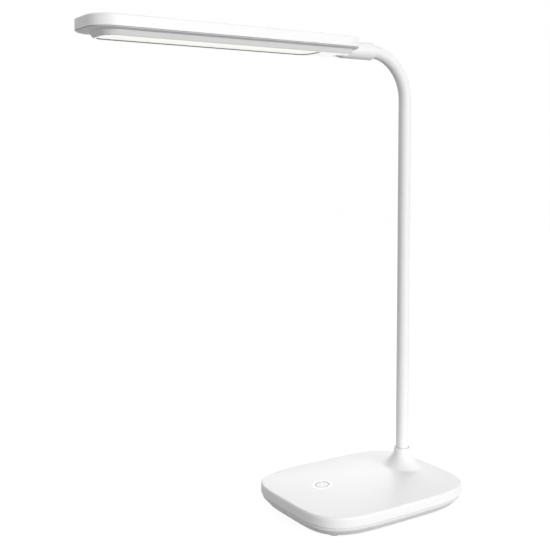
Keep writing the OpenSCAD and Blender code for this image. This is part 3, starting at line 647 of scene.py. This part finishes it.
def base_shell():
    bm = bmesh.new()
    # outside: lower edge, side band, rounded rim, pillowed top
    outside = [side_ring(bm, 0.22, SHELL_LOW), side_ring(bm, 0.0, SHELL_LOW + 0.22)]
    outside += [side_ring(bm, 0.0, z) for z in (11.5, 14.0, BAND_TOP)]
    for angle in (13, 26, 39, 52, 65, 77):
        a = math.radians(angle)
        outside.append(side_ring(bm, RIM_R * (1 - math.cos(a)), BAND_TOP + RIM_R * math.sin(a)))
    crown = [crown_ring(bm, share, 0.0) for share in CROWN_SHARES]
    skin(bm, outside + crown[:1])
    before = set(bm.faces)
    skin(bm, crown)
    lid(bm, crown[-1])
    top = [f for f in bm.faces if f not in before]
    # inside, a wall's thickness below
    before = set(bm.faces)
    inside = [crown_ring(bm, share, SHELL_WALL) for share in INNER_SHARES]
    skin(bm, inside)
    lid(bm, inside[-1])
    under = [f for f in bm.faces if f not in before]
    walls = [side_ring(bm, SHELL_WALL, z) for z in (SHELL_LOW, BAND_TOP - 0.4)]
    skin(bm, [outside[0], *walls, inside[0]])

    top, under = stem_boss(bm, top, under)
    key_recess(bm, top, under)
    made = mesh_object("base_shell", bm)
    # power inlet in the side band
    tool = bmesh.new()
    rod(tool, INLET_AT, INLET_R, 76.0, 84.0, 48, "X")
    carve(made, "DIFFERENCE", tool)
    dress(made, "white_satin_plastic", "base", ["base_top_shell"])
    # Painted highlight: the dish round the key takes the lighter, polished finish.
    touch_up(
        made,
        "polished_dish_painted_highlight",
        lambda x, y, z: z > KEY_PAD + 0.5 and math.hypot(x - KEY_X, y) < DISH_R - 0.6,
    )
    # Painted shade on the key hole's wall and softened edge, where the gap round the key is in
    # shade.
    touch_up(
        made,
        "painted_gap_shade",
        lambda x, y, z: z > KEY_PAD + 0.1 and math.hypot(x - KEY_X, y) < KEY_HOLE + 0.13,
    )
    # Painted shade on the boss bore's wall and edge, where the gap round the stem is in shade.
    touch_up(
        made,
        "painted_gap_shade",
        lambda x, y, z: z > BOSS_FLOOR and math.hypot(x - STEM_X, y) < BOSS_BORE + 0.1,
    )
    return made


def stem_boss(bm, top, under):
    """Boss: a trumpet foot that runs out of the top, a ring with a rounded lip, the bore."""
    stem = (STEM_X, 0.0)
    rim, top = open_disc(bm, top, stem, FLARE_R + 0.8)
    boss = []
    for k in range(25):
        reach = (k / 24) ** 0.9
        radius = FLARE_R - (FLARE_R - BOSS_R + NECK_STEP) * reach
        rise = 1 - (1 - reach**FLARE_POWER) ** (1 / FLARE_POWER)
        rise *= 1 - math.exp(-FOOT_BLEND * reach)

        def flare(x, y, rise=rise):
            return crown_height(x, y) * (1 - rise) + RING_LOW * rise

        boss.append(round_ring(bm, stem, radius, flare, 96))
    steps = [(BOSS_R - NECK_STEP, RING_LOW + 0.15), (BOSS_R - 0.06, RING_LOW + 0.42)]
    steps += [(BOSS_R, RING_LOW + 0.65), (BOSS_R, BOSS_Z - 1.5), (BOSS_R, BOSS_Z - BOSS_LIP)]
    for angle in (18, 36, 54, 72, 90):
        a = math.radians(angle)
        steps.append((BOSS_R - BOSS_LIP * (1 - math.cos(a)), BOSS_Z - BOSS_LIP * (1 - math.sin(a))))
    steps += [(BOSS_BORE + 0.12, BOSS_Z), (BOSS_BORE, BOSS_Z - 0.12), (BOSS_BORE, BOSS_FLOOR)]
    steps += [(FERRULE_HOLE, BOSS_FLOOR), (FERRULE_HOLE, BOSS_WEB), (NUT_ROOM, BOSS_WEB)]
    boss += [round_ring(bm, stem, r, z, 96) for r, z in steps]
    boss.append(round_ring(bm, stem, NUT_ROOM + 0.4, inner_height, 96))
    skin(bm, boss)
    fill_between(bm, [rim, boss[0]])
    rim, under = open_disc(bm, under, stem, NUT_ROOM + 0.8)
    fill_between(bm, [rim, boss[-1]])
    return top, under


def key_recess(bm, top, under):
    """Key's place: a shallow dish, the hole's softened edge, its wall and pad."""
    key = (KEY_X, 0.0)
    rim, top = open_disc(bm, top, key, DISH_R + 1.2)

    def dished(radius, extra=0.0):
        fall = DISH_DEPTH * max(0.0, 1 - (radius / DISH_R) ** 2) + extra
        return round_ring(bm, key, radius, lambda x, y: crown_height(x, y) - fall, 96)

    hole = [dished(DISH_R + 0.5), dished(DISH_R + 0.15, 0.004), dished(DISH_R - 0.2, 0.002)]
    hole += [dished(r) for r in (8.4, 8.0, 7.5, 7.0, 6.6, KEY_HOLE + 0.3)]
    hole += [dished(KEY_HOLE + 0.12, 0.02), dished(KEY_HOLE + 0.03, 0.1), dished(KEY_HOLE, 0.22)]
    hole += [round_ring(bm, key, r, KEY_PAD, 96) for r in (KEY_HOLE, KEY_WELL)]
    hole.append(round_ring(bm, key, KEY_WELL_OUT, inner_height, 96))
    skin(bm, hole)
    fill_between(bm, [rim, hole[0]])
    rim, under = open_disc(bm, under, key, KEY_WELL_OUT + 0.45)
    fill_between(bm, [rim, hole[-1]])


def base_pan():
    bm = bmesh.new()
    outside = [(6.15, PAN_LOW), (5.75, PAN_LOW + 0.08), (5.45, PAN_LOW + 0.3)]
    outside += [(3.5, 4.1), (1.42, PAN_LIP - 1.05), (1.22, PAN_LIP - 0.85), (1.22, PAN_LIP - 0.72)]
    outside += [(1.3, PAN_LIP - 0.58), (1.78, PAN_LIP - 0.04), (1.9, PAN_LIP), (1.9, PAN_BAND)]
    outside += [(2.3, PAN_BAND), (2.3, PAN_RIM), (4.1, PAN_RIM), (4.1, PAN_LIP), (7.6, PAN_FLOOR)]
    rings = [side_ring(bm, inset, z) for inset, z in outside]
    skin(bm, rings)
    below, above = [rings[0]], [rings[-1]]
    for centre in FOOT_AT:
        post = [(FOOT_ROOM, PAN_LOW), (FOOT_ROOM, FOOT_TOP), (SCREW_HEAD_R, FOOT_TOP)]
        post += [(SCREW_HEAD_R, SCREW_SEAT), (SCREW_HOLE_R, SCREW_SEAT)]
        post += [(SCREW_HOLE_R, PAN_POST_Z), (PAN_POST_R, PAN_POST_Z), (PAN_POST_R, PAN_FLOOR)]
        rings = [round_ring(bm, centre, r, z, 48) for r, z in post]
        skin(bm, rings)
        below.append(rings[0])
        above.append(rings[-1])
    for centre in STAKE_AT:
        stake = [(STAKE_R, PAN_FLOOR), (STAKE_R, BALLAST_TOP), (STAKE_HEAD_R, BALLAST_TOP)]
        stake += [(STAKE_HEAD_R, STAKE_TOP - 0.3), (STAKE_HEAD_R - 0.6, STAKE_TOP)]
        rings = [round_ring(bm, centre, r, z, 32) for r, z in stake]
        skin(bm, rings)
        lid(bm, rings[-1])
        above.append(rings[0])
    fill_between(bm, below)
    fill_between(bm, above)
    made = mesh_object("base_pan", bm)
    # the rim's opening for the power inlet
    tool = bmesh.new()
    block(tool, *INLET_ROOM)
    carve(made, "DIFFERENCE", tool)
    dress(made, "pale_grey_plastic", "base", ["base_lower_pan"])
    # Painted shade: the pan's faces below the band take the darker copy of its plastic.
    touch_up(made, "pan_painted_shade", lambda x, y, z: z < PAN_BAND)
    return made


def foot_pads():
    bm = bmesh.new()
    turned = [(2.0, 0.25), (4.3, 0.25), (4.5, 0.0), (4.9, 0.0), (5.2, 0.12), (5.4, 0.4)]
    turned += [(FOOT_R, 0.7), (FOOT_R, FOOT_TOP)]
    for centre in FOOT_AT:
        rings = [round_ring(bm, centre, r, z, 48) for r, z in turned]
        skin(bm, rings)
        lid(bm, rings[0])
        lid(bm, rings[-1])
    return dress(mesh_object("foot_pads", bm), "foot_rubber", "base", ["rubber_feet"])


def key_button():
    """The key: a face that lies level with the sloping top, slightly hollowed."""
    bm = bmesh.new()
    key = (KEY_X, 0.0)

    def face(x, y):
        return KEY_TOP + KEY_SLOPE * (x - KEY_X)

    def turned(radius, fall):
        return round_ring(bm, key, radius, lambda x, y: face(x, y) - fall, 96)

    rings = [round_ring(bm, key, WINDOW_R + 0.05, KEY_TOP - 2.0, 96)]
    rings += [turned(WINDOW_R + 0.05, 0.14), turned(WINDOW_R + 0.13, 0.08)]
    rings += [turned(r, 0.07 * (1 - (r / KEY_R) ** 2)) for r in (1.4, 2.4, 3.4, 4.4, 5.1)]
    for angle in (0, 22, 45, 67, 90):
        a = math.radians(angle)
        rings.append(turned(KEY_R - KEY_EDGE * (1 - math.sin(a)), KEY_EDGE * (1 - math.cos(a))))
    flange = [(KEY_R, KEY_FLANGE_Z + 0.8), (KEY_FLANGE_R, KEY_FLANGE_Z + 0.8)]
    flange += [(KEY_FLANGE_R, KEY_FLANGE_Z), (KEY_POST_R, KEY_FLANGE_Z), (KEY_POST_R, KEY_STEM_LOW)]
    rings += [round_ring(bm, key, r, z, 96) for r, z in flange]
    skin(bm, rings)
    lid(bm, rings[0])
    lid(bm, rings[-1])
    made = dress(mesh_object("key_button", bm), "white_satin_plastic", "key", ["key_cap"])
    # Painted shade on the key's rounded edge and side, where the gap round it is in shade.
    touch_up(
        made,
        "painted_gap_shade",
        lambda x, y, z: z > KEY_PAD and math.hypot(x - KEY_X, y) > KEY_R - KEY_EDGE * 0.6,
    )
    return made


# ---------- Sleeve ----------

PIVOT_Z = (85.0, 135.0, 185.0, 235.0, 285.0, 317.2, 349.4)
PIVOT_ANGLE = (28.0, 56.0)
SLEEVE_COUNT = 64


def stem_place(run):
    """Point and direction of the stem's line, run millimetres from its seat."""
    if run <= RISE:
        return Vector((STEM_X, 0, SEAT_Z + run)), Vector((0, 0, 1))
    angle = min((run - RISE) / BEND_R, math.pi / 2)
    middle = Vector((BEND_X, 0, BEND_Z))
    away = Vector((math.cos(angle), 0, math.sin(angle)))
    return middle + away * BEND_R, Vector((-math.sin(angle), 0, math.cos(angle)))


def sleeve_ring(bm, run, radius):
    spot, ahead = stem_place(run)
    side = Vector((0, 1, 0))
    out = side.cross(ahead)

    def place(step):
        angle = TURN * step / SLEEVE_COUNT
        return spot + radius * (math.cos(angle) * out + math.sin(angle) * side)

    return ring(bm, SLEEVE_COUNT, place)


def sleeve_stretch(number, start, end, pivot):
    """One stretch of the sleeve, along the stem's line from start to end, with its pivot inside."""
    bm = bmesh.new()
    fine = 1.4 if end > RISE else 2.5
    count = math.ceil((end - start) / fine)
    runs = [start + (end - start) * k / count for k in range(count + 1)]
    outside = [sleeve_ring(bm, run, SLEEVE_R) for run in runs]
    inside = [sleeve_ring(bm, run, SLEEVE_BORE) for run in reversed(runs)]
    skin(bm, [*outside, *inside, outside[0]])
    made = mesh_object(f"sleeve_{number}", bm)
    nodes = [f"stem_sleeve_{number}"] + (["stem_sleeve_10"] if number == 9 else [])
    dress(made, "white_soft_sleeve", None, nodes, flat_faces=False)
    reach = min(pivot - start, end - pivot, 22.0)
    first, last = (stem_place(pivot + way * reach)[0] * MM for way in (-1, 1))
    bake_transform(made)
    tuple(first)
    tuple(last)
    return made


def sleeve():
    pivots = [z - SEAT_Z for z in PIVOT_Z]
    pivots += [RISE + BEND_R * math.radians(a) for a in PIVOT_ANGLE]
    joins = [(a + b) / 2 for a, b in zip(pivots, pivots[1:])]
    ends = [0.0, *joins, RISE + BEND_R * math.pi / 2]
    for k, pivot in enumerate(pivots):
        sleeve_stretch(k + 1, ends[k], ends[k + 1], pivot)


# ---------- Head ----------

CORNER_STEPS = 14
BOX_COUNT = 4 * (CORNER_STEPS + 1)


def box_ring(bm, low, high, half, corner, z):
    """Ring round a rectangle with round corners."""

    def place(step):
        quarter, part = divmod(step, CORNER_STEPS + 1)
        angle = math.radians(90 * (quarter + part / CORNER_STEPS))
        x = high - corner if quarter in (0, 3) else low + corner
        y = half - corner if quarter in (0, 1) else corner - half
        return Vector((x + corner * math.cos(angle), y + corner * math.sin(angle), z))

    return ring(bm, BOX_COUNT, place)


def head_ring(bm, inset, z):
    return box_ring(
        bm, HEAD_FREE + inset, HEAD_STEM - inset, HEAD_HALF - inset, HEAD_CORNER - inset, z
    )


def tray_ring(bm, inset, z):
    return box_ring(
        bm,
        HEAD_FREE + LEDGE_FREE + inset,
        HEAD_STEM - LEDGE_STEM - inset,
        HEAD_HALF - LEDGE_SIDE - inset,
        TRAY_CORNER - inset,
        z,
    )


def light_ring(bm, inset, z):
    side = TRAY_TAPER + TRAY_RIM + inset
    return box_ring(
        bm,
        HEAD_FREE + LEDGE_FREE + side,
        HEAD_STEM - LEDGE_STEM - TRAY_BLANK - inset,
        HEAD_HALF - LEDGE_SIDE - side,
        TRAY_CORNER - side,
        z,
    )


LED_POSTS = [(-216.2, 0.0), (-131.6, 0.0), (-62.0, 0.0)]
EAR_POSTS = [(EAR_X, EAR_Y), (EAR_X, -EAR_Y)]
POSTS = [(LED_POSTS, LED_POST_R, LED_POST_H), (EAR_POSTS, EAR_POST_R, EAR_POST_H)]


def head_shell():
    bm = bmesh.new()
    outside = [head_ring(bm, 0.14, HEAD_LOW), head_ring(bm, 0.0, HEAD_LOW + 0.14)]
    outside.append(head_ring(bm, 0.0, HEAD_LOW + 4.0))
    for angle in (0, 15, 30, 45, 60, 75, 90):
        a = math.radians(angle)
        inset = HEAD_EDGE * (1 - math.cos(a))
        outside.append(head_ring(bm, inset, HEAD_TOP - HEAD_EDGE * (1 - math.sin(a))))
    outside += [head_ring(bm, HEAD_EDGE + 0.5, HEAD_TOP), head_ring(bm, 4.0, HEAD_TOP)]
    skin(bm, outside)
    lid(bm, outside[-1])
    inside = [head_ring(bm, HEAD_WALL, z) for z in (HEAD_LOW, CEILING)]
    skin(bm, [outside[0], *inside])
    loops = [inside[-1]]
    for centres, radius, height in POSTS:
        low = CEILING - height
        for centre in centres:
            post = [(radius, CEILING), (radius, low), (PILOT_R, low), (PILOT_R, CEILING + 1)]
            rings = [round_ring(bm, centre, r, z, 24) for r, z in post]
            skin(bm, rings)
            lid(bm, rings[-1])
            loops.append(rings[0])
    fill_between(bm, loops)
    made = mesh_object("head_shell", bm)
    carve(made, "DIFFERENCE", tongue_way())
    return dress(made, "white_satin_plastic", "head", ["head_top_shell"])


def tongue_way():
    """Way in for the socket's tongue through the shell's end wall, flat on top."""
    tool = bmesh.new()
    rings = [way_ring(tool, x) for x in (HEAD_STEM - HEAD_WALL - 1, HEAD_STEM + 1)]
    skin(tool, rings)
    lid(tool, rings[0])
    lid(tool, rings[-1])
    return tool


def way_ring(bm, x):
    def place(step):
        angle = TURN * step / 96
        up = min((SOCKET_R + TONGUE_ROOM) * math.sin(angle), TONGUE_TOP + 0.15 - AXIS_Z)
        return Vector((x, (SOCKET_R + TONGUE_ROOM) * math.cos(angle), AXIS_Z + up))

    return ring(bm, 96, place)


def light_tray():
    bm = bmesh.new()
    rings = [light_ring(bm, 0.25, TRAY_FLOOR), light_ring(bm, 0.0, TRAY_FLOOR - 0.25)]
    rings += [light_ring(bm, 0.0, TRAY_LOW + 0.2), light_ring(bm, -0.2, TRAY_LOW)]
    side = [(TRAY_TAPER + 0.45, TRAY_LOW), (TRAY_TAPER + 0.12, TRAY_LOW + 0.1)]
    side += [(TRAY_TAPER - 0.16, TRAY_LOW + 0.36), (1.2, TRAY_LOW + 2.28), (0.16, TRAY_TOP - 0.3)]
    side += [(0.0, TRAY_TOP - 0.03), (-0.25, TRAY_TOP + 0.04)]
    rings += [tray_ring(bm, inset, z) for inset, z in side]
    rings += [head_ring(bm, 1.1, LEDGE_Z - 0.32), head_ring(bm, 1.0, LEDGE_Z - 0.2)]
    rings += [head_ring(bm, 1.0, LEDGE_Z), head_ring(bm, 2.3, LEDGE_Z)]
    rings += [head_ring(bm, 2.3, TRAY_LIP_TOP), head_ring(bm, 3.7, TRAY_LIP_TOP)]
    rings += [head_ring(bm, 3.7, TRAY_LIP_FOOT), tray_ring(bm, 1.8, TRAY_LIP_FOOT)]
    rings += [tray_ring(bm, TRAY_TAPER + 1.2, TRAY_FLOOR)]
    skin(bm, [*rings, rings[0]])
    made = mesh_object("light_tray", bm)
    carve(made, "DIFFERENCE", socket_room())
    dress(made, "pale_grey_plastic", "head", ["head_lower_tray"])

    # Painted shade on the inner wall of the diffuser's recess, drawn as a dark line round the
    # sheet.
    def in_recess(x, y, z):
        along = LIGHT_FREE - 0.15 < x < LIGHT_STEM + 0.15
        return along and abs(y) < LIGHT_HALF + 0.15 and TRAY_LOW + 0.15 < z < TRAY_FLOOR

    touch_up(made, "painted_gap_shade", in_recess)
    # Painted light: the rim faces round the diffuser take the faint glow.
    touch_up(made, "painted_glow_rim", lambda x, y, z: z < TRAY_LOW + 0.03)
    return made


def turned_x(bm, profile, count=96, top=None, top_from=None):
    """Rings round the socket's axis, cut level at top where they lie beyond top_from."""
    rings = []
    for x, radius in profile:
        limit = top if top is not None and x < top_from else math.inf

        def place(step, x=x, radius=radius, limit=limit):
            angle = TURN * step / count
            z = min(AXIS_Z + radius * math.sin(angle), limit)
            return Vector((x, radius * math.cos(angle), z))

        rings.append(ring(bm, count, place))
    skin(bm, rings)
    return rings


def socket_room():
    tool = bmesh.new()
    wide = SOCKET_R + TONGUE_ROOM
    profile = [(SOCKET_END - TONGUE_ROOM, NOSE_R + TONGUE_ROOM), (SOCKET_END + NOSE_L, wide)]
    profile.append((HEAD_STEM + 2, wide))
    rings = turned_x(tool, profile)
    lid(tool, rings[0])
    lid(tool, rings[-1])
    return tool


def diffuser_sheet():
    bm = bmesh.new()
    rings = [light_ring(bm, 1.2, DIFFUSER_Z), light_ring(bm, 0.55, DIFFUSER_Z)]
    rings += [light_ring(bm, 0.37, DIFFUSER_Z + 0.08), light_ring(bm, 0.3, DIFFUSER_Z + 0.25)]
    rings += [light_ring(bm, 0.3, TRAY_FLOOR), light_ring(bm, -0.8, TRAY_FLOOR)]
    rings += [light_ring(bm, -0.8, TRAY_FLOOR + 1.2)]
    skin(bm, rings)
    lid(bm, rings[0])
    lid(bm, rings[-1])
    return dress(mesh_object("diffuser_sheet", bm), "milky_diffuser", "head", ["diffuser"])


def socket_collar():
    bm = bmesh.new()
    nose_x, neck_x = SOCKET_END + NOSE_L, HEAD_STEM + 0.2
    profile = [(SOCKET_WEB, FERRULE_HOLE), (SOCKET_WEB, WIRE_HOLE), (SOCKET_END, WIRE_HOLE)]
    profile.append((SOCKET_END, NOSE_R - 0.35))
    profile += [(SOCKET_END + 0.1, NOSE_R - 0.1), (SOCKET_END + 0.4, NOSE_R + 0.09)]
    profile += [(nose_x - 0.5, SOCKET_R - 0.11), (nose_x, SOCKET_R - 0.03)]
    profile += [(nose_x + 0.5, SOCKET_R), (neck_x - 0.1, SOCKET_R)]
    profile += [(neck_x + 0.1, SOCKET_R), (-5.0, SOCKET_R)]
    profile.append((SOCKET_MOUTH - MOUTH_L - 1.0, SOCKET_R))
    for angle in range(0, 91, 15):
        a = math.radians(angle)
        along = SOCKET_MOUTH - MOUTH_L * (1 - math.sin(a))
        profile.append((along, MOUTH_R + (SOCKET_R - MOUTH_R) * math.cos(a)))
    profile += [(SOCKET_MOUTH, SOCKET_BORE + 0.08), (SOCKET_MOUTH - 0.1, SOCKET_BORE)]
    profile += [(SOCKET_SEAT, SOCKET_BORE), (SOCKET_SEAT, FERRULE_HOLE)]
    rings = turned_x(bm, profile, 96, TONGUE_TOP, neck_x)
    bmesh.ops.bridge_loops(bm, edges=rings[-1] + rings[0])
    made = mesh_object("socket_collar", bm)
    tool = bmesh.new()
    block(tool, *EARS)
    carve(made, "UNION", tool)
    tool = bmesh.new()
    for place in EAR_POSTS:
        rod(tool, place, EAR_HOLE, AXIS_Z + 0.6, AXIS_Z + 4.6, 32)
    rod(tool, (GRUB_X, 0.0), GRUB_HOLE, AXIS_Z, CEILING + 1, 32)
    rod(tool, (0.0, AXIS_Z), FERRULE_HOLE, SOCKET_WEB, SOCKET_SEAT - 0.2, 96, "X")
    carve(made, "DIFFERENCE", tool)
    return dress(made, "white_satin_plastic", "head", ["neck_socket"])


# ---------- Building ----------

KEY_STEM_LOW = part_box("key_cap")[0].z / MM

base_shell()
base_pan()
foot_pads()
key_button()
sleeve()
head_shell()
light_tray()
diffuser_sheet()
socket_collar()

NODE_FINISHES = {
    "zinc_steel": [
        "base_screws",
        "board_screws",
        "stem_ferrule",
        "stem_washer",
        "stem_nut",
        "neck_ferrule",
        "socket_screws",
        "socket_grub_screw",
        "led_board_screws",
    ],
    "steel_plate": ["ballast_plate"],
    "clear_window": ["key_light_pipe"],
    "black_plastic": ["tactile_switch", "switch_plunger", "board_components", "power_inlet"],
    "circuit_board": ["control_board"],
    "wire_jacket": ["inlet_lead", *(f"stem_lead_{k}" for k in range(1, 11))],
    "gooseneck_steel": [f"stem_core_{k}" for k in range(1, 11)],
    "white_reflector": ["reflector"],
    "white_board": ["led_board"],
    "led_phosphor": ["led_chips"],
    "natural_nylon": ["head_connector"],
}
for finish, nodes in NODE_FINISHES.items():
    for node in nodes:
        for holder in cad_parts[node].material_slots:
            holder.material = FINISHES[finish]


# ---------- Floor, light and camera ----------


def shown_rays(tree):
    """1 for the rays by which the surroundings are seen, straight or in a gloss."""
    seen, mirrored, through = (
        tree.make("ShaderNodeLightPath", out=f"Is {kind} Ray")
        for kind in ("Camera", "Glossy", "Transmission")
    )
    return seen + mirrored + through


FLOOR_BOUNCE = 0.27
FLOOR_SHADE = 0.14
FLOOR_GLOW = 0.93


def floor():
    """Pale floor: shown white with the lamp's faint shadow, and grey in what it throws back."""
    bm = bmesh.new()
    bmesh.ops.create_grid(bm, x_segments=1, y_segments=1, size=4000)
    made = mesh_object("floor", bm)
    paper, tree, place = start_finish("floor_paper")
    seen = shown_rays(tree)
    plain = tree.make("ShaderNodeBsdfDiffuse", None, {"Color": grey(FLOOR_BOUNCE)})
    faint = tree.make("ShaderNodeBsdfDiffuse", None, {"Color": grey(FLOOR_SHADE)})
    glow = tree.make("ShaderNodeEmission", None, {"Color": grey(1.0), "Strength": FLOOR_GLOW})
    shown = tree.make("ShaderNodeAddShader", None, {0: faint, 1: glow})
    end_finish(paper, tree, tree.make("ShaderNodeMixShader", None, {0: seen, 1: plain, 2: shown}))
    made.data.materials.append(paper)


def surroundings(ambient):
    """White all round where it shows, and ambient in the light that it gives."""
    world = bpy.data.worlds.new("surroundings")
    bpy.context.scene.world = world
    world.use_nodes = True
    world.node_tree.nodes.clear()
    tree = Tone(world.node_tree)
    dim = tree.make("ShaderNodeBackground", None, {"Color": (1, 1, 1, 1), "Strength": ambient})
    white = tree.make("ShaderNodeBackground", None, {"Color": (1, 1, 1, 1), "Strength": 1.0})
    shown = tree.make("ShaderNodeMixShader", None, {0: shown_rays(tree), 1: dim, 2: white})
    tree.make("ShaderNodeOutputWorld", None, {"Surface": shown})


def softbox(name, place, aim, width, height, power, spread=180):
    """A soft lamp, width by height in metres, that faces aim. spread is its beam, in degrees."""
    light = bpy.data.lights.new(name, "AREA")
    light.shape = "RECTANGLE"
    light.size = width
    light.size_y = height
    light.energy = power
    light.spread = math.radians(spread)
    made = bpy.data.objects.new(name, light)
    made.location = place
    made.rotation_euler = (Vector(aim) - Vector(place)).to_track_quat("-Z", "Y").to_euler()
    bpy.context.scene.collection.objects.link(made)


def camera():
    lens = bpy.data.cameras.new("camera")
    lens.lens = 57.86
    lens.sensor_width = 36.0
    lens.shift_y = -0.12
    lens.clip_end = 50.0
    made = bpy.data.objects.new("camera", lens)
    made.location = (-0.4751, -0.5930, 0.2977)
    made.rotation_euler = (math.radians(90 - 3.228), 0, math.radians(-33.020))
    bpy.context.scene.collection.objects.link(made)
    bpy.context.scene.camera = made


floor()
surroundings(0.46)
middle = (-0.05, 0.0, 0.2)
softbox("key_light", (0.53, -2.8, 0.6), middle, 1.6, 0.8, 55.0)
softbox("top_light", (1.1, 2.15, 1.35), middle, 1.8, 1.5, 31.0)
softbox("fill_light", (-2.7, -0.9, 0.45), middle, 1.2, 0.8, 5.5)
softbox("low_light", (-0.86, -2.66, 0.2), (0.0, -0.04, -0.01), 0.5, 0.2, 0.05, 12)
camera()

bpy.context.scene.view_settings.view_transform = "Standard"
